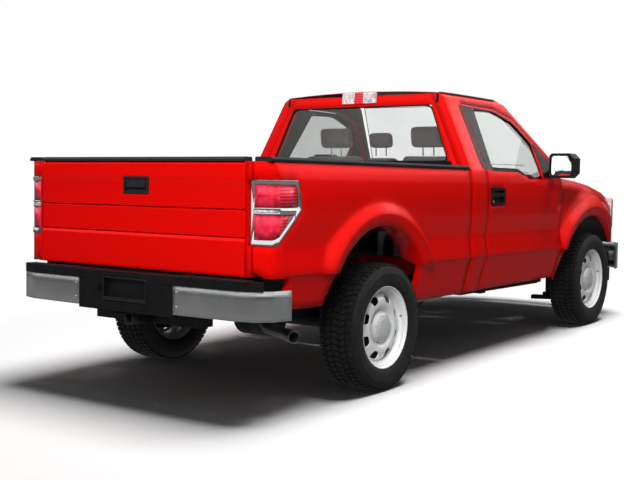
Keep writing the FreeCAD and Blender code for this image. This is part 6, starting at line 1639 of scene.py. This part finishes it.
@dataclass
class Wiper:
    """One windshield wiper, parked along the lower edge of the glass."""

    name: str
    pivot_y: float
    tip_y: float

    steps: ClassVar[int] = 10
    rise: ClassVar[float] = 0.055  # how far up the glass the blade's tip is parked
    near: ClassVar[float] = 0.45  # the share of that at the pivot's end
    search: ClassVar[Triple] = (1.30, 0.9, 0.004)  # where the glass is looked for: from, to, step
    foot: ClassVar[float] = 0.06  # how far along the blade the pivot stands, as a share
    off_glass: ClassVar[Vector] = Vector((0.6, 0, 0.8))  # the way out of the glass
    lift: ClassVar[float] = 0.009  # how far the blade's middle line stands off it
    arm_lift: ClassVar[float] = 0.010  # how far the arm stands off the blade

    @staticmethod
    def onto(node: str, x: float, y: float) -> Vector | None:
        """Give the point of a node's upper face below a high place, or none if it has none."""
        hit, spot, _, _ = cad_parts[node].ray_cast(Vector((x, y, 3.0)), Vector((0, 0, -1)))
        return spot if hit else None

    def low_edge(self, y: float) -> float:
        """Find how far forward the glass reaches at a place across the truck, in metres."""
        x, end, step = self.search
        while x > end and self.onto("windshield", x, y) is None:
            x -= step
        return x

    def build(self) -> None:
        """Draw the blade along the glass and the arm from its pivot to the blade's middle."""
        line = []
        for step in range(self.steps + 1):
            y = self.pivot_y + (self.tip_y - self.pivot_y) * step / self.steps
            x = self.low_edge(y) - self.rise * (self.near + (1 - self.near) * step / self.steps)
            spot = self.onto("windshield", x, y)
            if spot is not None:
                line.append(spot + self.off_glass * self.lift)
        black = MouldedPlastic("#0B0B0C")
        blade = Repeater.rod("blade", line, 4.5, black)
        end = line[len(line) // 2]
        middle = end + self.off_glass * self.arm_lift
        foot_y = self.pivot_y + (self.tip_y - self.pivot_y) * self.foot
        seat = self.onto("cowl_panel", self.low_edge(foot_y) + 0.012, foot_y) or line[0]
        knuckle = seat + Vector((0.0, 0.0, 0.012))
        elbow = knuckle.lerp(middle, 0.25) + Vector((0.006, 0, 0.014))
        path = [seat - Vector((0, 0, 0.004)), knuckle, elbow, middle, end]
        arm = Repeater.rod("arm", rounded(path, 0.03, 3, False), 5.0, black)
        settle(joined(self.name, [blade, arm]), TRUCK, black)


@dataclass
class FrontEnd:
    """Hood, fenders, grille, lamps, wipers and front bumper."""

    def build(self) -> None:
        """Dress the front."""
        paint(CoatedPaint(), "hood", "front_fenders")
        paint(RearBumper.face, "front_bumper")
        paint(MouldedPlastic(), "front_valance")
        paint(MouldedPlastic("#0F0F10", rough=0.38), "front_structure")
        paint(MouldedPlastic("#1A1A1B", rough=0.4), "grille")
        for wiper in (Wiper("wiper_left", 0.62, 0.06), Wiper("wiper_right", -0.02, -0.60)):
            wiper.build()
        # Ribs begin beyond the truck's nose, so the headlamps have facets only, painted in as
        # highlights and shade.
        paint(LampLens("#F2F4F5", "#A6AAAD", facet_mm=60.0, ribs_from=9.0), "headlamps")


# Studio

@dataclass(frozen=True)
class SoftBox:
    """A soft lamp: place, the point it faces, size in metres, watts, and what shows it."""

    name: str
    place: Triple
    aim: Triple
    size: Pair
    watts: float
    on_paper: bool = False
    mirrored: bool = False


@dataclass
class Studio:
    """White room with lit paper, dark cloth that only mirrors see, soft lamps and the camera."""

    eye: ClassVar[Triple] = (-6.73666, -4.284, 1.3677)
    yaw: ClassVar[float] = 36.01
    pitch: ClassVar[float] = -4.31
    focal_px: ClassVar[float] = 1054.76
    photo_px: ClassVar[int] = 640  # the photograph's width
    sensor_mm: ClassVar[float] = 36.0
    ambient: ClassVar[float] = 0.07  # the room's light for all rays but the eye's
    far_glow: ClassVar[float] = 0.15  # the same for paper far from the truck
    mirrored_paper: ClassVar[float] = 0.19  # the grey that paint and chrome mirror
    paper_half: ClassVar[float] = 60.0
    # The lit paper is an oval round the truck, a little behind its middle, with a soft edge.
    oval_shift: ClassVar[Triple] = (0.17, 0.0, 0.0)
    oval_scale: ClassVar[Triple] = (0.27, 0.42, 1.0)
    oval_edge: ClassVar[Pair] = (0.95, 1.55)
    wall: ClassVar[tuple[int, float, float]] = (64, 11.0, 6.0)  # the cloth's sides, radius and height
    wall_fade: ClassVar[Pair] = (2.2, 5.6)  # the heights between which it grows bright
    wall_glow: ClassVar[float] = 0.06
    white: ClassVar[Colour] = (1.0, 1.0, 1.0, 1.0)
    boxes: ClassVar[tuple[SoftBox, ...]] = (
        SoftBox("overhead", (0.8, -1.9, 13.0), (0.2, 0.0, 0.0), (7.0, 5.5), 2000.0, on_paper=True),
        SoftBox("flank_box", (8.5, -6.5, 5.0), (0.0, -1.0, 1.0), (8.0, 3.2), 90.0, mirrored=True),
        SoftBox("tail_side", (-7.5, 2.5, 6.4), (-2.5, 0.0, 1.0), (3.0, 2.0), 100.0),
        SoftBox("key_box", (-7.4, -3.7, 5.0), (-1.2, -0.6, 1.0), (3.0, 2.0), 740.0))

    @staticmethod
    def hang(name: str, data: bpy.types.ID, place: Triple, ahead: Vector) -> Piece:
        """Hang a lamp or the camera at a place and point it ahead.

        Args:
            name: its name.
            data: the lamp or the camera.
            place: where it hangs.
            ahead: the way it points.

        Returns:
            The new object.
        """
        hung = make_object(name, data)
        hung.location = place
        hung.rotation_mode = "QUATERNION"
        hung.rotation_quaternion = ahead.to_track_quat("-Z", "Y")
        return hung

    def camera(self) -> None:
        """Set the camera at the photograph's place."""
        lens = bpy.data.cameras.new("camera")
        lens.sensor_width = self.sensor_mm
        lens.lens = self.focal_px / self.photo_px * self.sensor_mm
        lens.clip_end = 200.0
        yaw, pitch = math.radians(self.yaw), math.radians(self.pitch)
        ahead = Vector((math.cos(pitch) * math.cos(yaw), math.cos(pitch) * math.sin(yaw),
                        math.sin(pitch)))
        bpy.context.scene.camera = self.hang("camera", lens, self.eye, ahead)

    @staticmethod
    def white_to_eye(tree: Tree, ray: bpy.types.Node, low: float) -> Socket:
        """Give full light to the eye, to mirrors and through glass, and less to the rest.

        Args:
            tree: the tree of the room or the paper.
            ray: its light path node.
            low: the level for all other rays.

        Returns:
            The socket with the level.
        """
        seen = add_node(tree, "ShaderNodeMath", {
            0: ray.outputs["Is Camera Ray"], 1: ray.outputs["Is Glossy Ray"]}, operation="ADD")
        through = add_node(tree, "ShaderNodeMath", {
            0: seen.outputs[0], 1: ray.outputs["Is Transmission Ray"]}, operation="ADD",
            use_clamp=True)
        return add_node(tree, "ShaderNodeMapRange", {
            "Value": through.outputs[0], "To Min": low, "To Max": 1.0}).outputs[0]

    def paper(self) -> bpy.types.Material:
        """Build white studio paper: matt, seamless, fading to pure white away from the truck."""
        made = bpy.data.materials.new("white_studio_paper")
        tree = emptied(made)
        ray = add_node(tree, "ShaderNodeLightPath")
        pale = add_node(tree, "ShaderNodeMix", {
            0: Grain(40.0).draw(tree), 6: linear("#FDFDFD"), 7: linear("#FFFFFF")},
            data_type="RGBA")
        # The paper throws little light back up, as if it lay far below the truck.
        dim = add_node(tree, "ShaderNodeMix", {
            0: ray.outputs["Is Diffuse Ray"], 6: pale.outputs[2], 7: linear("#8A8A8A")},
            data_type="RGBA")
        lit = add_node(tree, "ShaderNodeBsdfDiffuse", {"Color": dim.outputs[2]})
        glow = add_node(tree, "ShaderNodeEmission", {
            "Color": self.white, "Strength": self.white_to_eye(tree, ray, self.far_glow)})
        place = add_node(tree, "ShaderNodeTexCoord").outputs["Object"]
        fitted = add_node(tree, "ShaderNodeMapping", {
            "Vector": place, "Location": self.oval_shift, "Scale": self.oval_scale})
        reach = add_node(tree, "ShaderNodeVectorMath", {0: fitted.outputs[0]}, operation="LENGTH")
        far = add_node(tree, "ShaderNodeMapRange", {
            "Value": reach.outputs["Value"], "From Min": self.oval_edge[0],
            "From Max": self.oval_edge[1]},
            interpolation_type="SMOOTHSTEP")
        mixed = add_node(tree, "ShaderNodeMixShader", {
            0: far.outputs[0], 1: lit.outputs[0], 2: glow.outputs[0]})
        # Paint and chrome mirror a grey floor, as where dark flags stand in front of the paper.
        flag = add_node(tree, "ShaderNodeEmission", {
            "Color": self.white, "Strength": self.mirrored_paper})
        shaded = add_node(tree, "ShaderNodeMixShader", {
            0: ray.outputs["Is Glossy Ray"], 1: mixed.outputs[0], 2: flag.outputs[0]})
        add_node(tree, "ShaderNodeOutputMaterial", {"Surface": shaded.outputs[0]})
        return made

    def cloth(self) -> bpy.types.Material:
        """Build dark studio cloth that grows bright towards its top edge."""
        made = bpy.data.materials.new("dark_studio_cloth")
        tree = emptied(made)
        place = add_node(tree, "ShaderNodeTexCoord").outputs["Object"]
        split = add_node(tree, "ShaderNodeSeparateXYZ", {"Vector": place})
        level = add_node(tree, "ShaderNodeMapRange", {
            "Value": split.outputs["Z"], "From Min": self.wall_fade[0],
            "From Max": self.wall_fade[1], "To Min": self.wall_glow, "To Max": 1.0},
            interpolation_type="SMOOTHSTEP")
        glow = add_node(tree, "ShaderNodeEmission", {
            "Color": self.white, "Strength": level.outputs[0]})
        add_node(tree, "ShaderNodeOutputMaterial", {"Surface": glow.outputs[0]})
        return made

    def floor(self) -> Piece:
        """Lay the studio paper, facing up."""
        half = self.paper_half
        corners = [Vector((x, y, 0)) for x, y in ((-half, -half), (half, -half), (half, half),
                                                  (-half, half))]
        floor = from_points("studio_floor", corners, [(0, 1, 2, 3)])
        floor.data.materials.append(self.paper())
        if floor.data.polygons[0].normal.z < 0:
            floor.data.flip_normals()
        return floor

    def world(self) -> None:
        """Give a white room to the eye, to metal and to glass, and a softer one to the rest."""
        room = bpy.data.worlds.new("white_room")
        tree = emptied(room)
        ray = add_node(tree, "ShaderNodeLightPath")
        light = add_node(tree, "ShaderNodeBackground", {
            "Color": self.white, "Strength": self.white_to_eye(tree, ray, self.ambient)})
        add_node(tree, "ShaderNodeOutputWorld", {"Surface": light.outputs[0]})
        bpy.context.scene.world = room

    def stand_wall(self) -> None:
        """Stand a dark cloth round the room for mirrors only, so that bright parts keep an edge."""
        sides, reach, tall = self.wall
        points = [Vector((reach * math.cos(FULL_TURN * step / sides),
                          reach * math.sin(FULL_TURN * step / sides), height))
                  for height in (0.0, tall) for step in range(sides)]
        faces = [(step, (step + 1) % sides, sides + (step + 1) % sides, sides + step)
                 for step in range(sides)]
        wall = from_points("studio_cloth", points, faces)
        wall.data.materials.append(self.cloth())
        for way in ("camera", "diffuse", "transmission", "shadow"):
            setattr(wall, "visible_" + way, False)

    def lamps(self, floor: Piece) -> None:
        """Hang the soft boxes, most of which spare the paper under the truck.

        Args:
            floor: the paper.
        """
        spared = bpy.data.collections.new("all_but_paper")
        spared.objects.link(floor)
        spared.collection_objects[0].light_linking.link_state = "EXCLUDE"
        for box in self.boxes:
            light = bpy.data.lights.new(box.name, "AREA")
            light.shape = "RECTANGLE"
            light.size, light.size_y = box.size
            light.energy = box.watts
            hung = self.hang(box.name, light, box.place, Vector(box.aim) - Vector(box.place))
            hung.visible_glossy = box.mirrored
            if not box.on_paper:
                hung.light_linking.receiver_collection = spared

    def build(self) -> None:
        """Set up the room."""
        bpy.context.scene.view_settings.view_transform = "Standard"
        self.camera()
        floor = self.floor()
        self.world()
        self.stand_wall()
        self.lamps(floor)


def main() -> None:
    """Build every sub-assembly in order and report each."""
    logging.basicConfig(level=logging.INFO, format="%(message)s")
    Studio().build()
    for assembly in (RunningGear(), Cab(), LoadBed(), RearBumper(), FrontEnd()):
        log.info("building %s", type(assembly).__name__)
        assembly.build()


if __name__ == "__main__":
    main()
